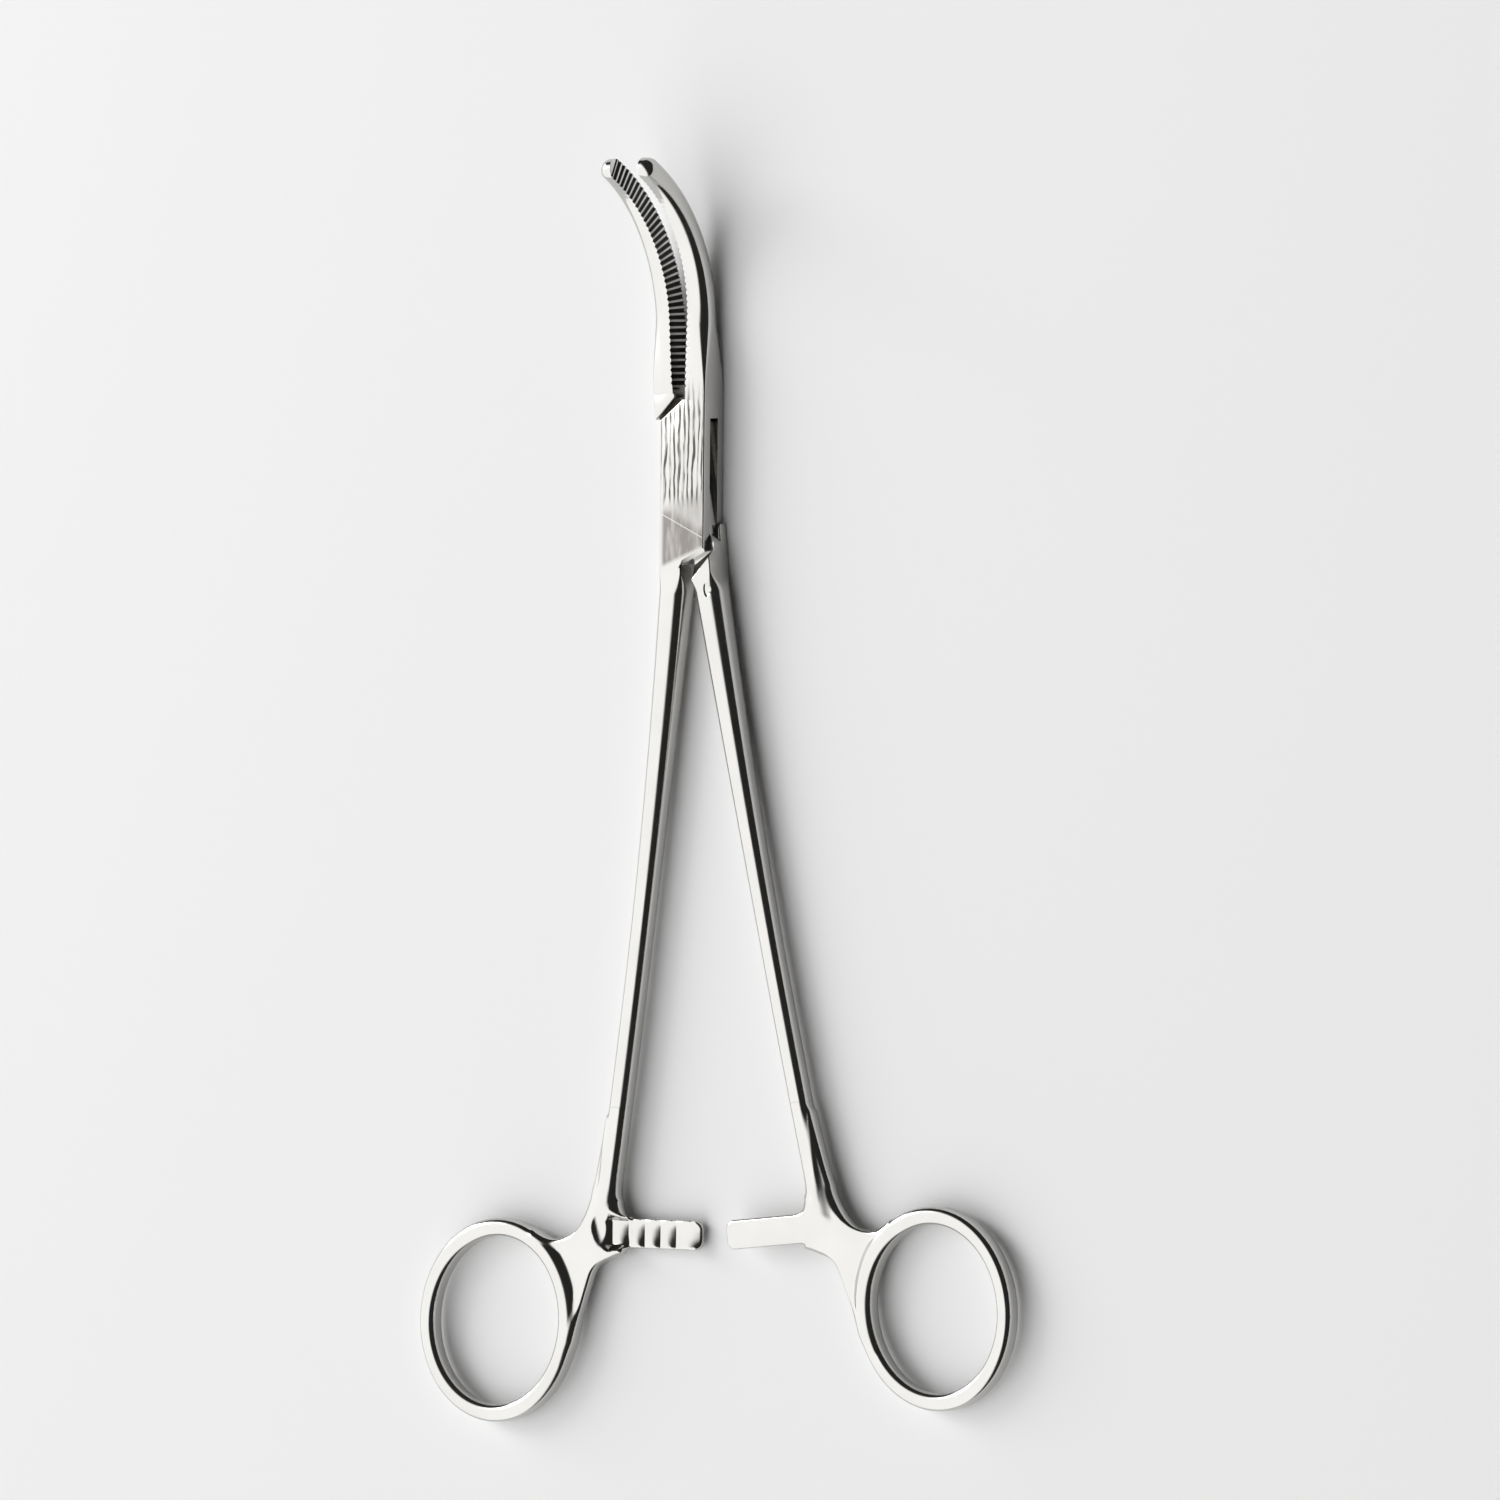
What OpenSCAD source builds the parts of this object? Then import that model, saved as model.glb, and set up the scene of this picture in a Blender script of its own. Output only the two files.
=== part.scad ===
// Ring-handled forceps with a box lock, curved cross-serrated jaws and a toothed ratchet.
// The forceps lie on their back: +Y runs from the lock to the jaws, +Z is up, and the jaws curve up.
// The origin is the pivot axis at the lock's underside. Each half is drawn in its closed place,
// with its mating face at x = 0, and is then turned about the pivot to where it rests, partly open.

/* [Rest] */
// Angle that each half is turned from its closed place
rest_half_angle = 3; // [1:0.5:8]

/* [Jaws] */
// Distance from the pivot to the first serration
jaw_base_y = 15; // [14:0.5:20]
// Length of the straight serrated stretch
jaw_straight = 11.8; // [6:0.2:20]
// Radius of the bend, on the jaw's centre line
jaw_bend_r = 28.3; // [18:0.1:45]
// Angle that the jaw turns through in its bend
jaw_bend_angle = 62; // [20:1:80]
// Height of the serrated face at its base
jaw_face_base = 4.4; // [3:0.1:5]
// Height of the serrated face near the tip
jaw_face_tip = 3.4; // [2:0.1:4]
// Thickness of a jaw at its base, from its face to its back
jaw_back_base = 4.5; // [3.4:0.1:4.5]
// Thickness of a jaw near its tip
jaw_back_tip = 2.7; // [1.6:0.1:3.4]
// How far each face stands back from its tip's contact line at the base, so that the tips meet first
jaw_bow = 0.35; // [0:0.05:0.6]
// Distance from one serration to the next
groove_pitch = 1.06; // [0.8:0.02:1.6]
// Part of the pitch that a serration's groove takes
groove_share = 0.66; // [0.4:0.02:0.9]
// Depth of a serration
groove_depth = 0.3; // [0.1:0.02:0.5]

/* [Lock] */
// Width of the lock across both halves
lock_w = 9; // [8:0.1:12]
// Thickness of the lock
lock_t = 5.2; // [4.6:0.1:7]
// Thickness of each plate of the lock
plate_t = 1.6; // [1.2:0.05:2]
// Where the plate's jaw end crosses the middle line
plate_jaw_end = 13.6; // [13:0.1:14.2]
// Slope of the plate's jaw end
plate_jaw_slope = 38; // [25:1:42]
// Where the plate's shank end crosses the middle line
plate_shank_end = 12.8; // [12:0.1:14]
// Slope of the front plate's shank end
plate_shank_slope = 22; // [10:1:30]
// Slope of the back plate's shank end, which is cut higher on its open side
back_plate_slope = 56; // [30:1:58]
// Width of the tongue that turns between the plates
tongue_w = 7.2; // [6:0.1:7.6]
// Width of the bevel along the front plate's shank end
plate_bevel = 0.7; // [0.3:0.05:1]
// Radius of the hollow ramp beside the front plate's shank end
throat_r = 3; // [2:0.1:5]
// Slope of that ramp's upper edge
throat_slope = 40; // [25:1:55]
// Distance from the pivot to that edge, at the lock's side
throat_y = 13; // [12:0.1:15]
// Radius of the pivot pin
pin_r = 1.6; // [1:0.05:2]

/* [Shanks] */
// Width and height of a shank beside the lock
shank_d_lock = 5.2; // [4.4:0.1:5.2]
// Width and height of a shank beside its ring
shank_d_ring = 3.6; // [3:0.1:4.4]
// Distance of a shank's centre line from the middle line, 19 mm behind the pivot
shank_x_lock = 2.9; // [2.7:0.05:3.4]
// Distance of a shank's centre line from the middle line where it meets the ratchet
shank_x_ring = 15.3; // [12:0.1:20]
// Distance from the pivot to where a shank meets its ratchet arm
shank_end_y = 115; // [80:1:160]

/* [Finger rings] */
// Inner length of a finger ring
ring_inner_l = 27.4; // [22:0.2:34]
// Inner width of a finger ring
ring_inner_w = 25.4; // [20:0.2:32]
// Width of the ring's rod, across the ring's plane
ring_rod_w = 2.9; // [2.2:0.1:4]
// Height of the ring's rod
ring_rod_h = 3.3; // [2.4:0.1:4.4]
// Distance of the ring's centre from the middle line
ring_x = 37.8; // [34:0.1:44]
// Distance of the ring's centre beyond the shank's end
ring_drop = 21.6; // [18:0.1:26]
// Lean of the ring's long axis, outwards at the bottom
ring_lean = 14; // [0:1:25]
// Thickness of the web between ring, shank and ratchet arm
web_t = 2.2; // [1.4:0.1:3]

/* [Ratchet] */
// Number of teeth on each ratchet arm
teeth = 5; // [2:1:5]
// Distance from one tooth to the next
tooth_pitch = 3.2; // [2:0.1:3.4]
// Height of a tooth
tooth_h = 0.8; // [0.4:0.05:1]
// Height of an arm, across the forceps' length
arm_h = 5; // [4:0.1:6]
// How far each arm's tip reaches past the middle line when the forceps are closed
arm_reach = 3.5; // [1:0.1:5]

/* [Hidden] */

// Clearance between the tongue and each plate
slot_clear = 0.05;
// Clearance between a half's shoulder and the other half's plate end
shoulder_clear = 0.25;
// Clearance between each half and the middle line, beside the lock
middle_clear = 0.08;
// Radial clearance between the pin and the tongue
pin_clear = 0.05;
// Clearance between the tooth tips of the two ratchet arms
ratchet_clear = 0.12;
// How far a forged part stays inside the lock's block where they meet
seam = 0.05;

half_w = lock_w / 2;
mid_z = lock_t / 2;
slot_t = lock_t - 2 * plate_t;
tongue_t = slot_t - 2 * slot_clear;

// Shares of a slope's rise over the half width of the lock
function rise(slope, x) = x * tan(slope);

// Points of a superellipse, from angle a0 to a1, as offsets along two directions
function rounded(a, b, n, a0, a1, steps, last) = [for (i = [0:last])
    let (t = a0 + (a1 - a0) * i / steps)
    [a * sign(cos(t)) * pow(abs(cos(t)), 2 / n), b * sign(sin(t)) * pow(abs(sin(t)), 2 / n)]];

// The middle of a ring of points
function middle(ring) = [for (c = [0:2]) let (v = [for (p = ring) p[c]]) v * [for (p = ring) 1] / len(ring)];

// A closed solid over a row of rings that all have the same number of points.
// A loop joins its last ring to its first one, and otherwise each end is closed by a fan.
module loft(rings, loop = false) {
    per = len(rings[0]);
    count = len(rings);
    last = (count - 1) * per;
    hubs = loop ? [] : [middle(rings[0]), middle(rings[count - 1])];
    near = count * per;
    sides = [for (k = [0:count - (loop ? 1 : 2)], i = [0:per - 1])
        let (j = (i + 1) % per, m = (k + 1) % count)
        each [
            [k * per + i, m * per + i, m * per + j],
            [k * per + i, m * per + j, k * per + j]
        ]];
    ends = loop ? [] : [for (i = [0:per - 1])
        let (j = (i + 1) % per)
        each [[near, i, j], [near + 1, last + j, last + i]]];
    polyhedron(concat([for (r = rings) each r], hubs), concat(sides, ends), convexity = 6);
}

// The jaw's centre line: distance s along it from the first serration gives y, z and the slope
bend_length = jaw_bend_r * jaw_bend_angle * PI / 180;
jaw_length = jaw_straight + bend_length;
function bend_at(s) = s <= jaw_straight ? 0 : (s - jaw_straight) * 180 / PI / jaw_bend_r;
function jaw_y(s) = s <= jaw_straight ? jaw_base_y + s : jaw_base_y + jaw_straight + jaw_bend_r * sin(bend_at(s));
function jaw_z(s) = s <= jaw_straight ? mid_z : mid_z + jaw_bend_r * (1 - cos(bend_at(s)));

// The jaw's tip is round over its last stretch
tip_round = jaw_face_tip / 2;
tip_least = 0.12;
function tip_scale(s) = s <= jaw_length - tip_round
    ? 1
    : max(tip_least, sqrt(max(0, 1 - pow((s - jaw_length + tip_round) / tip_round, 2))));

// Size of the jaw's section at distance s: its height, its back and the place of its face
root_length = 6;
function root_share(s) = min(1, max(0, 1 - (s + jaw_base_y - plate_jaw_end) / root_length));
function along(s) = min(1, max(0, s / jaw_length));
function face_height(s) = jaw_face_base + (jaw_face_tip - jaw_face_base) * along(s)
    + (lock_t - 2 * seam - jaw_face_base) * pow(root_share(s), 2);
function back_depth(s) = jaw_back_base - (jaw_back_base - jaw_back_tip) * pow(along(s), 1.3);
function face_place(s) = middle_clear + jaw_bow * pow(1 - along(s), 1.5);
function squareness(s) = 2.8 + 5 * root_share(s);

// One ring of the jaw, cut off level where a groove's bottom is
back_steps = 13;
function jaw_ring(s, depth) =
    let (
        k = tip_scale(s),
        bend = bend_at(s),
        face = face_place(s),
        back = (half_w / jaw_back_base * (back_depth(s)) - face - seam) * k,
        outline = rounded(face_height(s) / 2 * k, back, squareness(s), 0, 180, back_steps, back_steps)
    )
    [for (p = outline)
        let (x = face + max(p[1], depth))
        [x, jaw_y(s) - p[0] * sin(bend), jaw_z(s) + p[0] * cos(bend)]];

// Rows along the jaw from its root at root_y: the edge, bottom and edge of each groove, then its round tip
groove_count = floor((jaw_length - tip_round / 2) / groove_pitch);
function groove_rows(start) = [for (i = [0:groove_count - 1])
    let (s = start + i * groove_pitch, w = groove_pitch * groove_share)
    each [[s, 0], [s + w / 2, groove_depth], [s + w, 0]]];
function jaw_rows(start, root_y) = concat(
    [for (k = [0:5])
        let (s0 = root_y - jaw_base_y)
        [s0 + k * (start - 0.1 - s0) / 6, 0]],
    groove_rows(start),
    [for (k = [0.35, 0.7, 0.9, 1])
        let (s0 = start + groove_count * groove_pitch)
        [s0 + (jaw_length - s0) * k, 0]]
);

// A jaw on the +X side of the middle line, with its first groove at distance start
module jaw(start, root_y) {
    loft([for (r = jaw_rows(start, root_y)) jaw_ring(r[0], r[1])]);
}

// The shank is turned: its radius at distance t along its own axis, from the lock to the ring
shank_lock_y = 19;
shank_run = [shank_x_ring - shank_x_lock, shank_end_y - shank_lock_y];
shank_angle = atan2(shank_run[0], shank_run[1]);
shank_length = norm(shank_run);
root_run = shank_lock_y - plate_shank_end + 1;
tail_run = 5.4;
taper_share = 0.6;
taper_steps = 6;
flare = 1.4;
function taper_r(u) = shank_d_ring / 2 + (shank_d_lock - shank_d_ring) / 2 * pow(max(0, 1 - u), 1.6);
shank_profile = concat(
    [
        [0, -root_run],
        [shank_d_lock / 2 * flare, -root_run],
        [shank_d_lock / 2 * (1 + (flare - 1) * 0.3), -root_run * 0.5]
    ],
    [for (i = [0:taper_steps]) [taper_r(i / taper_steps), shank_length * taper_share * i / taper_steps]],
    [
        [shank_d_ring / 2, shank_length + tail_run],
        [0, shank_length + tail_run]
    ]
);

// The shank, cut to the lock's width and thickness where it flares out to meet it
module shank() {
    intersection() {
        translate([shank_x_lock, -shank_lock_y, mid_z])
            rotate([0, 0, shank_angle])
                rotate([90, 0, 0])
                    rotate_extrude($fn = 96)
                        polygon(shank_profile);
        translate([0, 0, seam])
            linear_extrude(lock_t - 2 * seam)
                polygon([
                    [middle_clear + seam, -plate_shank_end - 1],
                    [half_w - seam, -plate_shank_end - 1],
                    [half_w - seam, -plate_shank_end - 3.2],
                    [shank_x_lock + shank_d_lock, -shank_lock_y],
                    [shank_x_ring + shank_d_lock, -shank_end_y - 2 * tail_run],
                    [shank_x_ring - shank_d_lock, -shank_end_y - 2 * tail_run],
                    [middle_clear + seam, -shank_lock_y - 6]
                ]);
    }
}

// The finger ring: an oval rod whose long axis leans outwards at the bottom
ring_a = (ring_inner_l + ring_rod_w) / 2;
ring_b = (ring_inner_w + ring_rod_w) / 2;
ring_y = shank_end_y + ring_drop;
ring_steps = 48;
rod_points = 12;

// Radius of the ring's centre line at angle t about its centre, and the point there
function ring_radius(t) = 1 / sqrt(pow(cos(t - ring_lean) / ring_b, 2) + pow(sin(t - ring_lean) / ring_a, 2));
function ring_point(t) = [ring_x + ring_radius(t) * cos(t), -ring_y + ring_radius(t) * sin(t)];
function rod_ring(t) =
    let (c = ring_point(t), ahead = ring_point(t + 0.5) - ring_point(t - 0.5), out = [ahead[1], -ahead[0]] / norm(ahead))
    [for (p = rounded(ring_rod_w / 2, ring_rod_h / 2, 2.2, 0, 360, rod_points, rod_points - 1))
        [c[0] + p[0] * out[0], c[1] + p[0] * out[1], mid_z + p[1]]];

module finger_ring() {
    loft([for (k = [0:ring_steps - 1]) rod_ring(-k * 360 / ring_steps)], loop = true);
}

// Centres of the round cuts that blend the web into the shank, the ring and the ratchet arm
arm_y = shank_end_y + 6.7;
crotch_r = 8.2;
crotch = [shank_x_ring + shank_d_ring / 2 + 9.4, -shank_end_y + 0.1];
flare_run = 12;
heel_r = 6.2;
heel = [shank_x_ring - 2.5, -arm_y - arm_h / 2 - heel_r - 0.5];
skirt_angle = 16;
nook_r = 2.4;
nook = [shank_x_ring - shank_d_ring / 2 - nook_r + 0.4, -arm_y + arm_h / 2 + nook_r - 0.2];

// A point on the ring's outer edge at angle t about its centre
function ring_edge(t) = ring_point(t) + ring_rod_w / 2 * [cos(t), sin(t)];

// The web, whose corners reach into the shank, the ring's rod and the arm
module web() {
    translate([0, 0, mid_z - web_t / 2])
        linear_extrude(web_t)
            difference() {
                polygon(concat(
                    [
                        [nook[0], -arm_y],
                        nook,
                        [shank_x_ring, nook[1]],
                        [shank_x_ring, -shank_end_y + flare_run],
                        [crotch[0] - crotch_r, crotch[1]],
                        crotch
                    ],
                    [for (t = [118:8:206]) ring_point(t)],
                    [
                        ring_edge(192),
                        heel + heel_r * [cos(skirt_angle), sin(skirt_angle)],
                        heel,
                        [heel[0], -arm_y]
                    ]
                ));
                translate(crotch)
                    circle(crotch_r, $fn = 96);
                translate(nook)
                    circle(nook_r, $fn = 64);
                translate(heel)
                    circle(heel_r, $fn = 96);
            }
}

// The ratchet arm: a bar with sawtooth steps whose steep sides face the arm's root
arm_t = mid_z - ratchet_clear / 2 - (mid_z - shank_d_ring / 2) - 0.1;
arm_z0 = mid_z - ratchet_clear / 2 - arm_t;
arm_top = arm_z0 + arm_t;
arm_corner = 1.5;
arm_root_x = shank_x_ring;

module arm_outline() {
    difference() {
        translate([-arm_reach, -arm_y - arm_h / 2])
            square([arm_root_x + arm_reach, arm_h]);
        for (m = [-1, 1])
            translate([-arm_reach, -arm_y + m * arm_h / 2])
                difference() {
                    square(2 * arm_corner, center = true);
                    translate([arm_corner, -m * arm_corner])
                        circle(arm_corner, $fn = 48);
                }
    }
}

module ratchet_arm() {
    difference() {
        translate([0, 0, arm_z0])
            linear_extrude(arm_t)
                arm_outline();
        for (i = [0:teeth - 1])
            translate([-arm_reach + i * tooth_pitch - 0.5 * (i == 0 ? 1 : 0), -arm_y + arm_h, arm_top])
                rotate([90, 0, 0])
                    linear_extrude(2 * arm_h)
                        polygon([
                            [0, 0.2],
                            [0, -tooth_h],
                            [0.3, -tooth_h],
                            [tooth_pitch - 0.35 + 0.5 * (i == 0 ? 1 : 0), 0],
                            [tooth_pitch - 0.35 + 0.5 * (i == 0 ? 1 : 0), 0.2]
                        ]);
    }
}

// Round scoop where the toothed side of the arm runs out into the shank
scoop_r = 2.3;
scoop = [shank_x_ring - 0.3, -arm_y + 0.3];

// A shank with its ring, web and arm on the +X side; its teeth face up
module handle() {
    difference() {
        union() {
            shank();
            finger_ring();
            web();
            ratchet_arm();
        }
        translate([scoop[0], scoop[1], arm_top - tooth_h])
            cylinder(h = lock_t, r = scoop_r, $fn = 64);
    }
}

// Outline of both plates with the jaw and shank roots, for the half whose jaw is on the +X side
root_jaw_y = plate_jaw_end;
root_overlap = 1.4;
root_shank_y = plate_shank_end + 4;
module lock_outline(shank_slope) {
    polygon([
        [-half_w, -root_shank_y],
        [-middle_clear, -root_shank_y],
        [-middle_clear, -plate_shank_end],
        [half_w, -plate_shank_end + rise(shank_slope, half_w)],
        [half_w, root_jaw_y],
        [middle_clear, root_jaw_y],
        [-half_w, root_jaw_y - rise(plate_jaw_slope, half_w + middle_clear)]
    ]);
}

// The slot between the plates, open on both sides and closed at the two roots
slot_side_y = 10.6;
slot_mid_y = 1.6;
module slot_outline() {
    polygon([
        [half_w + 1, -root_shank_y - 1],
        [0, -root_shank_y - 1],
        [0, -slot_side_y - slot_mid_y],
        [-half_w - 1, -slot_side_y + slot_mid_y / 3],
        [-half_w - 1, root_jaw_y + 1],
        [0, root_jaw_y + 1],
        [0, slot_side_y + slot_mid_y],
        [half_w + 1, slot_side_y - slot_mid_y / 3]
    ]);
}

module female_lock() {
    difference() {
        linear_extrude(lock_t)
            lock_outline(plate_shank_slope);
        translate([0, 0, plate_t])
            linear_extrude(slot_t)
                slot_outline();
        translate([0, 0, -1])
            linear_extrude(1 + plate_t)
                polygon([
                    [middle_clear - 0.6, -plate_shank_end],
                    [half_w + 1, -plate_shank_end + rise(back_plate_slope, half_w + 1)],
                    [half_w + 1, -plate_shank_end - 1],
                    [0, -plate_shank_end - 1]
                ]);
        translate([0, -plate_shank_end, lock_t])
            rotate([0, 0, plate_shank_slope])
                rotate([45, 0, 0])
                    translate([0, -plate_bevel / 2, -plate_bevel / 2])
                        cube([2 * lock_w, plate_bevel, plate_bevel]);
    }
}

// The other half's tongue with the roots of its own jaw, on the -X side, and shank
tongue_end = 9.6;
module tongue_outline() {
    half_t = tongue_w / 2;
    polygon([
        [-half_w, plate_jaw_end + 0.2],
        [-middle_clear, plate_jaw_end + 0.2],
        [-middle_clear, slot_side_y + 1],
        [half_t, tongue_end],
        [half_t, -tongue_end + 1],
        [half_w, -tongue_end - 0.4],
        [half_w, -root_shank_y],
        [middle_clear, -root_shank_y],
        [middle_clear, -slot_side_y - 1],
        [-half_t, -tongue_end],
        [-half_t, tongue_end - 1],
        [-half_w, tongue_end + 0.4]
    ]);
}

module shank_shoulder(slope) {
    y0 = -plate_shank_end - shoulder_clear / cos(slope);
    polygon([
        [middle_clear, -root_shank_y],
        [half_w, -root_shank_y],
        [half_w, y0 + rise(slope, half_w)],
        [middle_clear, y0]
    ]);
}

// The shoulder behind the other jaw stands clear of the plates' jaw end
shoulder_y = plate_jaw_end + shoulder_clear / cos(plate_jaw_slope);
shoulder_length = 2;
module jaw_shoulder() {
    polygon([
        [-middle_clear, shoulder_y + shoulder_length],
        [-half_w, shoulder_y + shoulder_length],
        [-half_w, shoulder_y - rise(plate_jaw_slope, half_w)],
        [-middle_clear, shoulder_y]
    ]);
}

// The hollow ramp that rises from the tongue to the top of its shank beside the front plate's end
module throat() {
    floor_z = lock_t - plate_t - slot_clear;
    reach = sqrt(pow(throat_r, 2) - pow(throat_r - lock_t + floor_z, 2));
    translate([half_w, -throat_y, floor_z + throat_r])
        rotate([0, 0, throat_slope])
            translate([0, reach, 0])
                rotate([0, 90, 0])
                    cylinder(h = 6 * lock_w, r = throat_r, center = true, $fn = 96);
}

module male_lock() {
    translate([0, 0, plate_t + slot_clear])
        linear_extrude(tongue_t)
            tongue_outline();
    linear_extrude(lock_t)
        jaw_shoulder();
    linear_extrude(lock_t)
        shank_shoulder(plate_shank_slope);
    linear_extrude(plate_t + 2 * slot_clear)
        shank_shoulder(back_plate_slope);
}

module female_half() {
    color("silver")
        rotate([0, 0, -rest_half_angle])
            difference() {
                union() {
                    female_lock();
                    jaw(0.3, root_jaw_y - root_overlap);
                    mirror([1, 0, 0])
                        handle();
                }
                translate([0, 0, -1])
                    cylinder(h = lock_t + 2, r = pin_r, $fn = 64);
            }
}

module male_half() {
    color("lightgray")
        rotate([0, 0, rest_half_angle])
            difference() {
                union() {
                    male_lock();
                    mirror([1, 0, 0])
                        jaw(0.3 + groove_pitch / 2, shoulder_y + shoulder_length / 4);
                    translate([0, 0, lock_t])
                        mirror([0, 0, 1])
                            handle();
                }
                throat();
                translate([0, 0, -1])
                    cylinder(h = lock_t + 2, r = pin_r + pin_clear, $fn = 64);
            }
}

module pivot_pin() {
    color("gray")
        cylinder(h = lock_t, r = pin_r, $fn = 64);
}

female_half();
male_half();
pivot_pin();
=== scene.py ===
"""Duct forceps with a box lock, curved serrated jaws, ring handles and a toothed ratchet, lying on a pale table.

Lengths are in millimetres until a mesh is made. Each half is drawn in its closed place, with its mating face
on the middle line x = 0, the jaws towards +Y and the rings towards -Y, and is then turned about the pivot to
where it rests, partly open.
"""

import logging
import math
from dataclasses import dataclass, field
from enum import Enum
from typing import Callable

import bmesh
import bpy
import numpy as np
from mathutils import Matrix, Vector

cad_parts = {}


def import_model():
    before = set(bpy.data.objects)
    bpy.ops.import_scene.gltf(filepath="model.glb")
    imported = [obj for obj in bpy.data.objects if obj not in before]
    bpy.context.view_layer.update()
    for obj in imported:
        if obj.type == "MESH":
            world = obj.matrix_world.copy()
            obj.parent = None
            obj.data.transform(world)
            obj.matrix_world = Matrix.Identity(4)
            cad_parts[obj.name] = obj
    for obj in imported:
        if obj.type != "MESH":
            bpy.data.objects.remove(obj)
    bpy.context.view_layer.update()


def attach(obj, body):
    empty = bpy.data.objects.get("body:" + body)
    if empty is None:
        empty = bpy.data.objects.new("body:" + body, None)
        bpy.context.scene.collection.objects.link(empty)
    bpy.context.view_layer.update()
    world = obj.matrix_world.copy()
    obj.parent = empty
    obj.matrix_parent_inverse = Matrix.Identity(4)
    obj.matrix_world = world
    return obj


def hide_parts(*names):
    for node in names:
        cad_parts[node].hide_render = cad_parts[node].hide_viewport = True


LOG = logging.getLogger("forceps")
MM = 0.001
PHOTO_PIXELS = 1500
SENSOR_MM = 36.0
SHARP_DEGREES = 32
CUT_OVER = 1.0
CORNER_STEPS = 12
ROUND_STEPS = 96


class Finish(Enum):
    """The finishes of a half, in the order of its material slots: polished steel, lands with a painted highlight,
    grooves and the hollow ramp with painted shade.
    """

    POLISHED = 0
    # Pale slot: painted highlight on the serration lands.
    LAND_HIGHLIGHT = 1
    # Dark slot: painted shade in the serration grooves.
    GROOVE_SHADE = 2
    # Dark slot: painted shade in the hollow ramp.
    RECESS_SHADE = 3


@dataclass(frozen=True)
class LockSizes:
    """Sizes of the box lock."""

    width: float = 9.0
    thickness: float = 5.2
    plate: float = 1.6
    jaw_end: float = 13.6
    jaw_slope: float = 38.0
    shank_end: float = 13.2
    shank_slope: float = 26.0
    back_slope: float = 56.0
    tongue_width: float = 7.2
    tongue_end: float = 9.6
    slot_side: float = 10.6
    slot_middle: float = 12.2
    slot_clear: float = 0.05
    slot_drop: float = 0.53
    back_in: float = 0.6
    tongue_round: float = 0.12
    tongue_lap: float = 0.2
    cheek: float = 0.4
    shoulder_lap: float = 0.7
    back_lap: float = 0.3
    shoulder_clear: float = 0.25
    middle_clear: float = 0.08
    root: float = 1.2
    inset: float = 0.003
    edge_round: float = 0.28
    end_bevel: float = 0.8
    throat_radius: float = 3.0
    throat_slope: float = 40.0
    throat_y: float = 12.3
    throat_reading: float = 0.02
    pin_radius: float = 1.6
    pin_clear: float = 0.05

    @property
    def half(self) -> float:
        """Half of the lock's width."""
        return self.width / 2

    @property
    def mid(self) -> float:
        """Height of the lock's middle plane."""
        return self.thickness / 2

    @property
    def throat_reach(self) -> float:
        """Distance from the hollow ramp's upper edge to its lowest line: half a chord of its circle."""
        depth = self.plate + self.slot_clear
        return math.sqrt(self.throat_radius ** 2 - (self.throat_radius - depth) ** 2)

    def throat_height(self, x: np.ndarray, y: np.ndarray) -> np.ndarray:
        """Height of the hollow ramp, a cylinder that lies across the shank, and far above the lock outside it."""
        turn = math.radians(self.throat_slope)
        across = (y + self.throat_y) * math.cos(turn) - (x - self.half) * math.sin(turn) - self.throat_reach
        low = self.thickness - self.plate - self.slot_clear
        inside = self.throat_radius ** 2 - across ** 2
        sunk = low + self.throat_radius - np.sqrt(np.maximum(inside, 0))
        return np.where(across > 0, low, np.where(inside > 0, sunk, 2 * self.thickness))

    def in_throat(self, points: np.ndarray) -> np.ndarray:
        """Whether points lie on the hollow ramp or the level face that it runs into; these faces get painted shade.
        """
        height = self.throat_height(points[..., 0], points[..., 1])
        return (np.abs(points[..., 2] - height) < self.throat_reading) & (points[..., 2] > self.mid)


@dataclass(frozen=True)
class JawSizes:
    """Sizes of a jaw; distances along it start at its first serration."""

    base_y: float = 15.0
    straight: float = 11.8
    bend_radius: float = 28.3
    bend_angle: float = 62.0
    face_base: float = 4.4
    face_tip: float = 3.4
    back_tip: float = 2.7
    bow: float = 0.35
    groove_pitch: float = 1.06
    groove_share: float = 0.66
    groove_depth: float = 0.3
    back_round: float = 2.1
    face_round: float = 0.1
    root_length: float = 15.0
    wall_rise: float = 1.15
    tip_plain: float = 0.3
    bow_power: float = 1.5
    back_power: float = 1.3
    tip_back: float = 0.25

    @property
    def length(self) -> float:
        """Length of the serrated centre line."""
        return self.straight + self.bend_radius * math.radians(self.bend_angle)


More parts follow.
